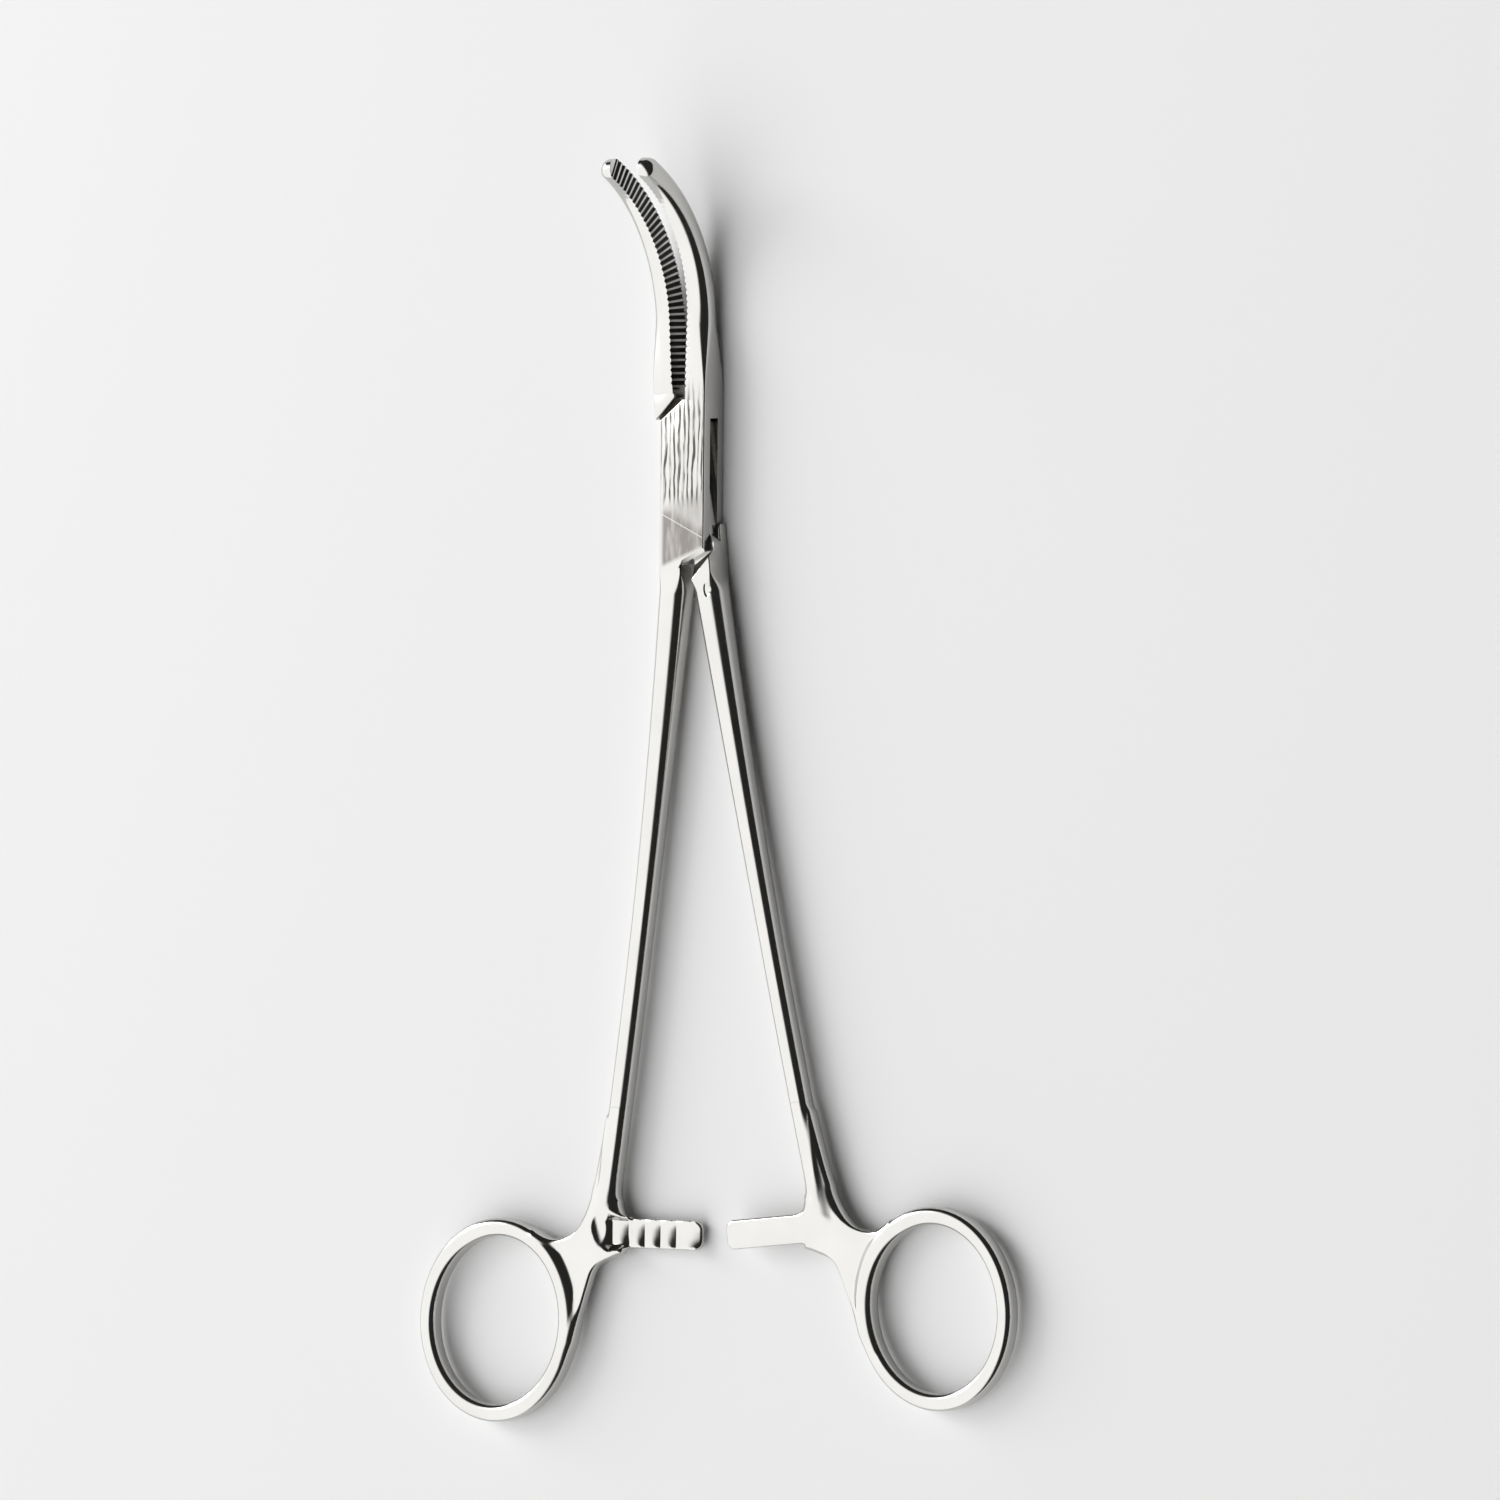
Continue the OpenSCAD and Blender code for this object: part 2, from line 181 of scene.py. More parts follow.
@dataclass(frozen=True)
class HandleSizes:
    """Sizes of a shank with its finger ring, web and ratchet arm."""

    thick_lock: float = 5.1
    thick_ring: float = 3.55
    x_lock: float = 2.9
    x_ring: float = 15.3
    y_lock: float = 19.0
    y_ring: float = 115.0
    bow: float = 0.7
    taper_share: float = 0.6
    taper_power: float = 1.6
    taper_cap: float = 1.06
    corner_share: float = 0.4
    root_fade: float = 3.6
    joint_y: float = 101.0
    joint_dip: float = 0.01
    ring_inner_l: float = 27.4
    ring_inner_w: float = 25.4
    rod_width: float = 2.9
    rod_height: float = 3.3
    rod_round: float = 1.1
    ring_x: float = 37.8
    ring_y: float = 136.6
    ring_lean: float = 14.0
    web: float = 2.2
    web_dish: float = 0.3
    arm_y: float = 121.7
    arm_height: float = 4.8
    arm_reach: float = 2.9
    arm_top: float = 2.54
    arm_bottom: float = 0.9
    arm_corner: float = 1.5
    teeth: int = 5
    tooth_pitch: float = 3.2
    tooth_start: float = -1.45
    tooth_height: float = 1.05
    tooth_flat: float = 0.35
    tooth_curve: float = 1.0
    tooth_fall: float = 0.3
    tooth_power: float = 1.7
    tooth_side: float = 0.75
    scoop: tuple[float, float, float] = (3.15, 4.5, 3.15)
    crotch_radius: float = 8.2
    heel_radius: float = 6.2
    nook_radius: float = 2.4
    crotch_at: tuple[float, float] = (11.2, 0.1)
    heel_at: tuple[float, float] = (2.5, 0.5)
    nook_in: float = 1.8
    nook_lap: tuple[float, float] = (0.4, 0.2)
    web_start: float = 12.0
    skirt_angle: float = 16.0
    knuckle: tuple[float, float, float] = (3.4, 4.4, 1.75)
    dimple: tuple[float, float, float, float, float] = (3.42, 17.6, 0.62, 1.3, 0.2)
    root_start: float = 0.6
    root_reach: float = 20.0
    joint_lap: float = 1.5
    joint_half: float = 0.5
    bar_tail: float = 5.6
    bar_round: float = 1.5
    web_edge: float = 0.7
    web_dish_run: float = 2.5
    wall_slope: float = 1.2
    side_slope: float = 1.5
    side_start: float = 1.9
    bench_share: float = 0.6
    top_share: float = 0.85
    knuckle_in: float = 0.5
    hump_ahead: float = 0.4
    scoop_in: float = 0.4
    scoop_height: float = 4.1
    cell: float = 0.215


@dataclass(frozen=True)
class Fillets:
    """Widths over which the forms of the handle's end run into each other."""

    ring_web: float = 1.6
    shank: float = 1.4
    knuckle: float = 2.2
    bench: float = 0.5
    arm: float = 0.5
    scoop: float = 0.35
    tooth: float = 0.4
    underside: float = 0.5


@dataclass
class Shell:
    """A closed surface in millimetres.

    Attributes:
        points: Corner points, one row each.
        quads: Four corner numbers a row.
        tris: Three corner numbers a row.
        finish: The finish of each face, quads first.
    """

    points: np.ndarray
    quads: np.ndarray = field(default_factory=lambda: np.zeros((0, 4), dtype=np.int64))
    tris: np.ndarray = field(default_factory=lambda: np.zeros((0, 3), dtype=np.int64))
    finish: np.ndarray | None = None

    def volume(self) -> float:
        """Signed volume: the sum of the tetrahedra between the origin and each triangle."""
        fans = np.concatenate([self.tris, self.quads[:, [0, 1, 2]], self.quads[:, [0, 2, 3]]])
        a, b, c = (self.points[fans[:, k]] for k in range(3))
        return float(np.einsum("ij,ij->i", a, np.cross(b, c)).sum() / 6)

    def outward(self) -> "Shell":
        """The same surface with its faces turned outwards.

        Returns:
            This shell, with the corner order reversed where its volume was negative.
        """
        if self.volume() < 0:
            self.quads = self.quads[:, ::-1]
            self.tris = self.tris[:, ::-1]
        return self

    def moved(self, change: Callable[[np.ndarray], np.ndarray]) -> "Shell":
        """A copy whose points went through a function.

        Args:
            change: Takes the rows of points and returns their new places.

        Returns:
            The copy, with its faces outwards again.
        """
        return Shell(change(self.points), self.quads, self.tris, self.finish).outward()

    def finishes(self) -> np.ndarray:
        """The finish number of each face, polished where none was given."""
        if self.finish is not None:
            return self.finish
        return np.zeros(len(self.quads) + len(self.tris), dtype=np.int32)


def carried(rings: np.ndarray) -> Shell:
    """Closes a profile that was carried along a path.

    The surface is the grid of rows along the path by points around the profile, with a fan over each end.

    Args:
        rings: Points with shape (rows, points around, 3).

    Returns:
        The closed shell.
    """
    rows, around = rings.shape[:2]
    index = np.arange(rows * around).reshape(rows, around)
    ahead = np.roll(index, -1, axis=1)
    quads = np.stack([index[:-1], index[1:], ahead[1:], ahead[:-1]], axis=-1).reshape(-1, 4)
    hubs = np.array([rings[0].mean(axis=0), rings[-1].mean(axis=0)])
    first = np.stack([index[0], ahead[0], np.full(around, rows * around)], axis=-1)
    last = np.stack([ahead[-1], index[-1], np.full(around, rows * around + 1)], axis=-1)
    points = np.concatenate([rings.reshape(-1, 3), hubs])
    return Shell(points, quads, np.concatenate([first, last])).outward()


def rounded_box(
    low: np.ndarray, high: np.ndarray, half: np.ndarray, low_round: np.ndarray, high_round: np.ndarray, steps: int
) -> np.ndarray:
    """Outline of a rectangle with round corners, for every row at once.

    Each corner is an arc: its centre plus its radius times (cos a, sin a), over a quarter turn.

    Args:
        low: Lower edge across the profile, one value a row.
        high: Upper edge across the profile.
        half: Half of the height.
        low_round: Corner radius on the lower edge.
        high_round: Corner radius on the upper edge.
        steps: Points in each corner.

    Returns:
        Offsets with shape (rows, 4 * steps, 2): across the profile, and up.
    """
    turn = np.linspace(0, math.pi / 2, steps)
    corners = []
    for k, (at_high, up) in enumerate([(True, 1), (False, 1), (False, -1), (True, -1)]):
        radius = high_round if at_high else low_round
        centre_u = high - radius if at_high else low + radius
        centre_v = up * (half - radius)
        angle = turn + k * math.pi / 2
        u = centre_u[:, None] + radius[:, None] * np.cos(angle)
        v = centre_v[:, None] + radius[:, None] * np.sin(angle)
        corners.append(np.stack([u, v], axis=-1))
    return np.concatenate(corners, axis=1)


def smooth_step(t: np.ndarray) -> np.ndarray:
    """Rises from 0 to 1 as t does, level at both ends: 3 t squared minus 2 t cubed."""
    t = np.clip(t, 0, 1)
    return t * t * (3 - 2 * t)


def blend_min(a: np.ndarray, b: np.ndarray, width: float) -> np.ndarray:
    """The smaller of two distances, with a fillet where they are within width of each other."""
    near = np.maximum(width - np.abs(a - b), 0) / width
    return np.minimum(a, b) - near * near * width / 4


def blend_max(a: np.ndarray, b: np.ndarray, width: float) -> np.ndarray:
    """The larger of two distances, with the edge between them rounded over width."""
    return -blend_min(-a, -b, width)


def corner_distance(du: np.ndarray, dv: np.ndarray, radius: float) -> np.ndarray:
    """Distance from a round corner, by how far a place lies beyond its two inner lines."""
    return np.minimum(np.maximum(du, dv), 0) + np.hypot(np.maximum(du, 0), np.maximum(dv, 0)) - radius


def box_distance(u: np.ndarray, v: np.ndarray, a: float, b: float, radius: float) -> np.ndarray:
    """Distance from a rectangle with half sides a and b and round corners, negative inside it."""
    return corner_distance(np.abs(u) - a + radius, np.abs(v) - b + radius, radius)


def outline_distance(x: np.ndarray, y: np.ndarray, corners: np.ndarray) -> np.ndarray:
    """Distance from a closed outline in the plane, negative inside it.

    The distance is the least one to any edge, and its sign comes from how often a ray crosses the edges.

    Args:
        x: Places across.
        y: Places along.
        corners: The outline's corners, one row each.

    Returns:
        One distance for each place.
    """
    least = np.full(x.shape, np.inf)
    inside = np.zeros(x.shape, dtype=bool)
    for (ax, ay), (bx, by) in zip(corners, np.roll(corners, -1, axis=0)):
        ex, ey = bx - ax, by - ay
        t = np.clip(((x - ax) * ex + (y - ay) * ey) / (ex * ex + ey * ey), 0, 1)
        least = np.minimum(least, np.hypot(x - ax - t * ex, y - ay - t * ey))
        crosses = (ay > y) != (by > y)
        inside ^= crosses & (x < ax + (y - ay) * ex / (ey if ey else 1.0))
    return np.where(inside, -least, least)


def surface_of(distance: Callable[[np.ndarray], np.ndarray], low: np.ndarray, high: np.ndarray, cell: float) -> Shell:
    """The surface on which a distance function is zero.

    Each cell of a grid that the surface crosses gets one point, the mean of the crossings on its edges, and
    four cells around a crossed edge make one face. The points are then moved onto the surface by Newton's step:
    the distance divided by its slope, along the slope.

    Args:
        distance: Takes points with shape (..., 3) and returns their distances, negative inside.
        low: Lowest corner of the grid.
        high: Highest corner of the grid.
        cell: Length of a cell's side.

    Returns:
        The closed shell.
    """
    axes = [np.arange(a, b + cell, cell) for a, b in zip(low, high)]
    values = distance(np.stack(np.meshgrid(*axes, indexing="ij"), axis=-1))
    cells = tuple(n - 1 for n in values.shape)
    total = np.zeros(cells + (3,))
    count = np.zeros(cells)
    faces = []
    crossings = []
    for axis in range(3):
        u, v = (axis + 1) % 3, (axis + 2) % 3
        moved = np.moveaxis(values, (axis, u, v), (0, 1, 2))
        a, b = moved[:-1], moved[1:]
        cross = (a < 0) != (b < 0)
        share = np.where(cross, a / np.where(cross, a - b, 1), 0)
        crossings.append((axis, u, v, cross, a < 0))
        for du in (0, 1):
            for dv in (0, 1):
                part = (slice(None), slice(du, du + cells[u]), slice(dv, dv + cells[v]))
                here = np.moveaxis(cross[part], (0, 1, 2), (axis, u, v))
                total[..., axis] += np.moveaxis(share[part], (0, 1, 2), (axis, u, v))
                total[..., u] += du * here
                total[..., v] += dv * here
                count += here
    active = count > 0
    number = np.full(cells, -1, dtype=np.int64)
    number[active] = np.arange(active.sum())
    points = (np.argwhere(active) + total[active] / count[active][:, None]) * cell + np.array(low)
    for axis, u, v, cross, starts_inside in crossings:
        i, j, k = np.nonzero(cross[:, 1:-1, 1:-1])
        j, k = j + 1, k + 1
        numbers = np.moveaxis(number, (axis, u, v), (0, 1, 2))
        quad = np.stack([numbers[i, j - 1, k - 1], numbers[i, j, k - 1], numbers[i, j, k], numbers[i, j - 1, k]], -1)
        turned = starts_inside[i, j, k]
        quad[~turned] = quad[~turned][:, ::-1]
        faces.append(quad)
    reach, step, least_slope, rounds = 0.4 * cell, 0.01, 0.05, 3
    for _ in range(rounds):
        value = distance(points)
        slope = np.stack(
            [(distance(points + step * e) - distance(points - step * e)) / (2 * step) for e in np.eye(3)], axis=-1
        )
        size = np.maximum((slope * slope).sum(axis=-1), least_slope)
        points = points - np.clip(value / size, -reach, reach)[:, None] * slope
    return Shell(points, np.concatenate(faces)).outward()


def shell_of(obj: bpy.types.Object, finish: Finish) -> Shell:
    """Takes the triangles of a Blender mesh with its modifiers, and removes the object.

    Args:
        obj: The object.
        finish: The finish of all its faces.

    Returns:
        The shell, in the mesh's own units.
    """
    evaluated = obj.evaluated_get(bpy.context.evaluated_depsgraph_get())
    mesh = evaluated.to_mesh()
    mesh.calc_loop_triangles()
    points = np.empty(len(mesh.vertices) * 3)
    mesh.vertices.foreach_get("co", points)
    tris = np.empty(len(mesh.loop_triangles) * 3, dtype=np.int32)
    mesh.loop_triangles.foreach_get("vertices", tris)
    evaluated.to_mesh_clear()
    shell = Shell(points.reshape(-1, 3), tris=tris.reshape(-1, 3).astype(np.int64))
    shell.finish = np.full(len(shell.tris), finish.value, dtype=np.int32)
    bpy.data.objects.remove(obj)
    return shell.outward()


def prism(
    name: str, outline: list[tuple[float, float]], low: float, high: float, edge: float = 0.0
) -> bpy.types.Object:
    """A flat outline pulled up into a solid, with its edges rounded.

    Args:
        name: Name of the object.
        outline: Corners in the plane.
        low: Height of its underside.
        high: Height of its top.
        edge: Radius of its edges, or 0 to leave them sharp.

    Returns:
        The object, in millimetres.
    """
    count = len(outline)
    points = [(x, y, z) for z in (low, high) for x, y in outline]
    sides = [(i, (i + 1) % count, (i + 1) % count + count, i + count) for i in range(count)]
    obj = mesh_object(name, points, [tuple(range(count))[::-1], tuple(range(count, 2 * count))] + sides)
    face_out(obj.data)
    if edge:
        bevel = obj.modifiers.new("edge", "BEVEL")
        bevel.width = edge
        bevel.segments = 4
        bevel.limit_method = "ANGLE"
        bake(obj)
    return obj


def rod(
    name: str,
    centre: tuple[float, float, float],
    axis: tuple[float, float, float],
    radius: float,
    length: float,
) -> bpy.types.Object:
    """A round bar used as a cutter.

    Args:
        name: Name of the object.
        centre: Its middle.
        axis: Direction of its axis.
        radius: Its radius.
        length: Its length.

    Returns:
        The object, in millimetres.
    """
    frame = np.array(Vector(axis).to_track_quat("Z", "Y").to_matrix())
    shell = carried(turned([radius, radius], [-length / 2, length / 2]) @ frame.T + np.array(centre))
    return mesh_object(name, shell.points.tolist(), shell.quads.tolist() + shell.tris.tolist())


def linked(name: str, data: bpy.types.ID) -> bpy.types.Object:
    """A new object with that data, put into the scene."""
    obj = bpy.data.objects.new(name, data)
    bpy.context.scene.collection.objects.link(obj)
    return obj


def mesh_object(name: str, points: list, faces: list) -> bpy.types.Object:
    """A new object with those corner points and faces, put into the scene."""
    mesh = bpy.data.meshes.new(name)
    mesh.from_pydata(points, [], faces)
    return linked(name, mesh)


def turned(radii: list[float], heights: list[float]) -> np.ndarray:
    """Rings about the Z axis, one for each pair of a radius and a height."""
    turn = np.linspace(0, 2 * math.pi, ROUND_STEPS, endpoint=False)
    ring = np.stack([np.cos(turn), np.sin(turn)], axis=-1)
    return np.array([np.column_stack([r * ring, np.full(ROUND_STEPS, z)]) for r, z in zip(radii, heights)])


def face_out(mesh: bpy.types.Mesh) -> None:
    """Turns the faces of a closed mesh outwards."""
    work = bmesh.new()
    work.from_mesh(mesh)
    bmesh.ops.recalc_face_normals(work, faces=work.faces)
    work.to_mesh(mesh)
    work.free()


def bake(obj: bpy.types.Object) -> None:
    """Replaces an object's mesh by what its modifiers make of it."""
    evaluated = obj.evaluated_get(bpy.context.evaluated_depsgraph_get())
    mesh = bpy.data.meshes.new_from_object(evaluated)
    obj.modifiers.clear()
    obj.data = mesh


def combine(obj: bpy.types.Object, others: list[bpy.types.Object], operation: str) -> bpy.types.Object:
    """Joins other solids to a solid, or cuts them away, and removes them.

    Args:
        obj: The solid that stays.
        others: The solids that are used up.
        operation: UNION or DIFFERENCE.

    Returns:
        The first solid.
    """
    for other in others:
        modifier = obj.modifiers.new("combine", "BOOLEAN")
        modifier.operation = operation
        modifier.solver = "EXACT"
        modifier.object = other
        bake(obj)
        bpy.data.objects.remove(other)
    return obj


def rise(slope: float, across: float) -> float:
    """How far a line of that slope in degrees rises over a distance across."""
    return across * math.tan(math.radians(slope))


@dataclass
class Jaw:
    """One curved jaw with a cross-serrated face, drawn on the +X side of the middle line."""

    sizes: JawSizes
    lock: LockSizes
    first_groove: float
    root_y: float
    merge_y: float

    def depth(self, s: np.ndarray) -> np.ndarray:
        """How deep the serrations are at a distance along the face.

        A groove is a V with a narrow flat bottom: its depth is the full one, less a share that grows with the
        distance from the groove's middle line.

        Args:
            s: Distances along the jaw.

        Returns:
            Depths, 0 on the lands.
        """
        size = self.sizes
        width = size.groove_pitch * size.groove_share
        place = np.mod(s - self.first_groove, size.groove_pitch) - width / 2
        wall = np.clip(size.wall_rise - np.abs(place) / (width / 2) * size.wall_rise, 0, 1)
        on_face = (s >= self.first_groove) & (s <= size.length - size.face_tip * size.tip_plain)
        return np.where(on_face, size.groove_depth * wall, 0)

    def path(self, s: np.ndarray) -> tuple[np.ndarray, np.ndarray, np.ndarray]:
        """The jaw's centre line: straight, then an arc that turns up.

        Args:
            s: Distances along the jaw.

        Returns:
            Y, Z and the turn in radians at each distance.
        """
        size = self.sizes
        turn = np.maximum(s - size.straight, 0) / size.bend_radius
        y = size.base_y + np.minimum(s, size.straight) + size.bend_radius * np.sin(turn)
        z = self.lock.mid + size.bend_radius * (1 - np.cos(turn))
        return y, z, turn

    def shell(self) -> Shell:
        """The jaw's surface: a rounded rectangle carried along its path, levelled at each groove's bottom.

        Returns:
            The closed shell, whose face has a pale material with a painted highlight on its lands and a dark one with
            painted shade in its grooves.
        """
        size, lock = self.sizes, self.lock
        tip = size.face_tip / 2
        root = self.root_y - size.base_y
        body = np.arange(root, size.length - tip, size.groove_pitch / CORNER_STEPS)
        cap = size.length - tip + tip * np.sin(np.linspace(0, math.pi / 2, 18)[:-1])
        s = np.concatenate([body, cap[1:], [size.length - 0.002]])
        along = np.clip(s / size.length, 0, 1)
        fade = smooth_step(1 - (s + size.base_y - self.merge_y) / size.root_length)
        shrink = np.sqrt(np.clip(1 - (np.maximum(s - size.length + tip, 0) / tip) ** 2, 0.0004, 1))
        face = lock.middle_clear + size.bow * (1 - along) ** size.bow_power
        back = lock.half - lock.inset - (lock.half - size.back_tip) * along ** size.back_power
        back = face + (back - face) * (size.tip_back + (1 - size.tip_back) * shrink)
        half = (size.face_base + (size.face_tip - size.face_base) * along) / 2
        half = (half + (lock.mid - lock.inset - half) * fade) * shrink
        back_round = np.minimum(size.back_round + (lock.edge_round - size.back_round) * fade, 0.92 * half)
        back_round = np.minimum(back_round, 0.9 * (back - face))
        face_round = np.minimum(size.face_round, 0.5 * half)
        profile = rounded_box(face, back, half, face_round, back_round, CORNER_STEPS)
        x = np.maximum(profile[..., 0], (face + self.depth(s))[:, None])
        y, z, turn = (value[:, None] for value in self.path(s))
        rings = np.stack([x, y - profile[..., 1] * np.sin(turn), z + profile[..., 1] * np.cos(turn)], axis=-1)
        shell = carried(rings)
        depth = self.depth(s)
        shallow, before = 0.02, 0.4
        cut = (depth[:-1] > shallow) | (depth[1:] > shallow)
        # Groove rows get the dark material with painted shade, land rows the pale one with a painted highlight; both
        # are also rougher than the polish.
        strip = np.where(cut, Finish.GROOVE_SHADE.value, Finish.LAND_HIGHLIGHT.value)
        strip = np.where(s[:-1] > self.first_groove - before, strip, Finish.POLISHED.value)
        columns = np.arange(4 * CORNER_STEPS)
        on_face = (columns >= CORNER_STEPS) & (columns < 3 * CORNER_STEPS - 1)
        finish = np.where(on_face[None, :], strip[:, None], Finish.POLISHED.value)
        shell.finish = np.concatenate([finish.ravel(), np.zeros(len(shell.tris))]).astype(np.int32)
        return shell


@dataclass
class Handle:
    """A shank with its finger ring, web and toothed arm, drawn on the +X side with the teeth up."""

    sizes: HandleSizes
    lock: LockSizes
    fillets: Fillets = field(default_factory=Fillets)

    def centre(self, y: np.ndarray) -> np.ndarray:
        """Distance of the shank's centre line from the middle line.

        It is the straight line between the shank's ends, less a parabola that bows it in.

        Args:
            y: Distances behind the pivot.

        Returns:
            One distance for each place.
        """
        size = self.sizes
        t = (y - size.y_lock) / (size.y_ring - size.y_lock)
        held = np.clip(t, -0.1, 1)
        return size.x_lock + (size.x_ring - size.x_lock) * t - 4 * size.bow * held * (1 - held)

    def thick(self, y: np.ndarray) -> np.ndarray:
        """Thickness of the shank, which tapers off to a constant one by a power of the distance."""
        size = self.sizes
        t = (y - size.y_lock) / (size.y_ring - size.y_lock) / size.taper_share
        more = np.clip(1 - t, 0, size.taper_cap) ** size.taper_power
        return size.thick_ring + (size.thick_lock - size.thick_ring) * more

    def slant(self) -> float:
        """Cosine of the shank's angle to the middle line."""
        size = self.sizes
        run = size.y_ring - size.y_lock
        return run / math.hypot(run, size.x_ring - size.x_lock)

    def shank(self, tongue_side: bool = False) -> Shell:
        """The long shank: a rounded rectangle that is the lock's root at one end and nearly round at the other.

        Args:
            tongue_side: Whether it starts in the hollow ramp beside the plate and bears the shallow oval dimple.

        Returns:
            The closed shell.
        """
        size, lock = self.sizes, self.lock
        near = np.linspace(lock.shank_end + size.root_start, size.root_reach, 100)
        y = np.concatenate([near, np.linspace(size.root_reach, size.joint_y + size.joint_lap, 90)[1:]])
        thick = self.thick(y)
        root = smooth_step(1 - (y - lock.shank_end - lock.root) / size.root_fade)
        dip = size.joint_dip * smooth_step(y - size.joint_y + size.joint_half)
        centre = self.centre(y)
        half_x = thick / 2 / self.slant() - dip
        low = centre - half_x + (lock.middle_clear + lock.inset - centre + half_x) * root
        high = centre + half_x + (lock.half - lock.inset - centre - half_x) * root
        half = thick / 2 - dip + (lock.mid - lock.inset - thick / 2) * root
        corner = thick * size.corner_share
        corner = corner + (lock.edge_round - corner) * root
        profile = rounded_box(low, high, half, corner, corner, 16)
        share = np.linspace(0, 1, 28)[None, 1:-1, None]
        top = profile[:, 15:16] * (1 - share) + profile[:, 16:17] * share
        profile = np.concatenate([profile[:, :16], top, profile[:, 16:]], axis=1)
        behind = np.broadcast_to(-y[:, None], profile.shape[:2])
        rings = np.stack([profile[..., 0], behind, lock.mid + profile[..., 1]], -1)
        if tongue_side:
            rings[..., 2] = np.minimum(rings[..., 2], lock.throat_height(rings[..., 0], rings[..., 1]))
            x0, y0, a, b, deep = size.dimple
            inward = np.clip(1 - ((rings[..., 0] - x0) / a) ** 2 - ((rings[..., 1] + y0) / b) ** 2, 0, 1)
            rings[..., 2] -= np.where(rings[..., 2] > lock.mid, deep * smooth_step(inward * 1.6), 0)
        shell = carried(rings)
        if tongue_side:
            shell.finish = np.zeros(len(shell.quads) + len(shell.tris), dtype=np.int32)
            # The faces in the hollow ramp get the dark material with painted shade.
            hollow = lock.in_throat(shell.points)[shell.quads].all(axis=1)
            shell.finish[: len(shell.quads)][hollow] = Finish.RECESS_SHADE.value
        return shell

    def ring_radius(self, turn: np.ndarray) -> np.ndarray:
        """Distance of the oval rod's centre line from the ring's centre, by the equation of an ellipse."""
        size = self.sizes
        a = (size.ring_inner_l + size.rod_width) / 2
        b = (size.ring_inner_w + size.rod_width) / 2
        lean = turn - math.radians(size.ring_lean)
        return 1 / np.sqrt((np.cos(lean) / b) ** 2 + (np.sin(lean) / a) ** 2)

    def ring_point(self, degrees: float, out: float = 0.0) -> tuple[float, float]:
        """A point at an angle about the ring's centre, on the rod's centre line or beyond it by out."""
        size = self.sizes
        turn = math.radians(degrees)
        reach = float(self.ring_radius(np.array(turn))) + out
        return size.ring_x + reach * math.cos(turn), -size.ring_y + reach * math.sin(turn)

    def web_distance(self, x: np.ndarray, y: np.ndarray) -> np.ndarray:
        """Distance from the web's outline: a polygon less three round cuts."""
        size = self.sizes
        side, lap = size.arm_height / 2, size.nook_lap
        crotch = (size.x_ring + size.crotch_at[0], -size.y_ring + size.crotch_at[1])
        heel = (size.x_ring - size.heel_at[0], -size.arm_y - side - size.heel_radius - size.heel_at[1])
        nook_x = size.x_ring - size.nook_in - size.nook_radius + lap[0]
        nook = (nook_x, -size.arm_y + side + size.nook_radius - lap[1])
        skirt = math.radians(size.skirt_angle)
        outline = [
            (nook[0], -size.arm_y),
            nook,
            (size.x_ring, nook[1]),
            (size.x_ring, -size.y_ring + size.web_start),
            (crotch[0] - size.crotch_radius, crotch[1]),
            crotch,
            *[self.ring_point(t) for t in range(118, 207, 8)],
            self.ring_point(192, size.rod_width / 2),
            (heel[0] + size.heel_radius * math.cos(skirt), heel[1] + size.heel_radius * math.sin(skirt)),
            heel,
            (heel[0], -size.arm_y),
        ]
        flat = outline_distance(x, y, np.array(outline))
        for (cx, cy), radius in ((crotch, size.crotch_radius), (heel, size.heel_radius), (nook, size.nook_radius)):
            flat = np.maximum(flat, radius - np.hypot(x - cx, y - cy))
        return flat

    def tooth_top(self, x: np.ndarray, y: np.ndarray) -> np.ndarray:
        """Height of the arm's toothed top.

        From its lowest line each tooth climbs in a ramp to its crest, by a power of the distance from it, and
        then falls steeply. The crest's edge is a parabola across the arm, and the cut fades to the arm's edges.

        Args:
            x: Places across.
            y: Places along.

        Returns:
            One height for each place.
        """
        size = self.sizes
        second = size.tooth_start + size.tooth_pitch
        length = np.where(x < second, second + size.arm_reach, size.tooth_pitch)
        run = np.where(x < second, x + size.arm_reach, np.mod(x - size.tooth_start, size.tooth_pitch))
        across = np.clip(np.abs(y + size.arm_y) / (size.arm_height / 2), 0, 1)
        fall = np.clip(1 - run / (length - size.tooth_flat - size.tooth_curve * across ** 2), 0, 1)
        drop = np.where(x < second, 1, smooth_step(run / size.tooth_fall))
        cut = size.tooth_height * drop * fall ** size.tooth_power * (1 - size.tooth_side * across ** 3)
        return size.arm_top - cut * (x < size.tooth_start + size.tooth_pitch * size.teeth)

    def arm_distance(self, x: np.ndarray, y: np.ndarray, z: np.ndarray) -> np.ndarray:
        """Distance from the toothed arm: a bar with round corners below its toothed top."""
        size = self.sizes
        half_x = (size.x_ring + size.arm_reach) / 2
        plan = box_distance(x + size.arm_reach - half_x, y + size.arm_y, half_x, size.arm_height / 2, size.arm_corner)
        top = (z - self.tooth_top(x, y)) * size.top_share
        bar = blend_max(plan, top, self.fillets.tooth)
        return blend_max(bar, size.arm_bottom - z, self.fillets.underside)

    @staticmethod
    def hump(u: np.ndarray, v: np.ndarray, w: np.ndarray, axes: tuple[float, float, float]) -> np.ndarray:
        """Distance from an ellipsoid with those half axes, true near its top."""
        a, b, c = axes
        return (np.sqrt((u / a) ** 2 + (v / b) ** 2 + (w / c) ** 2) - 1) * c

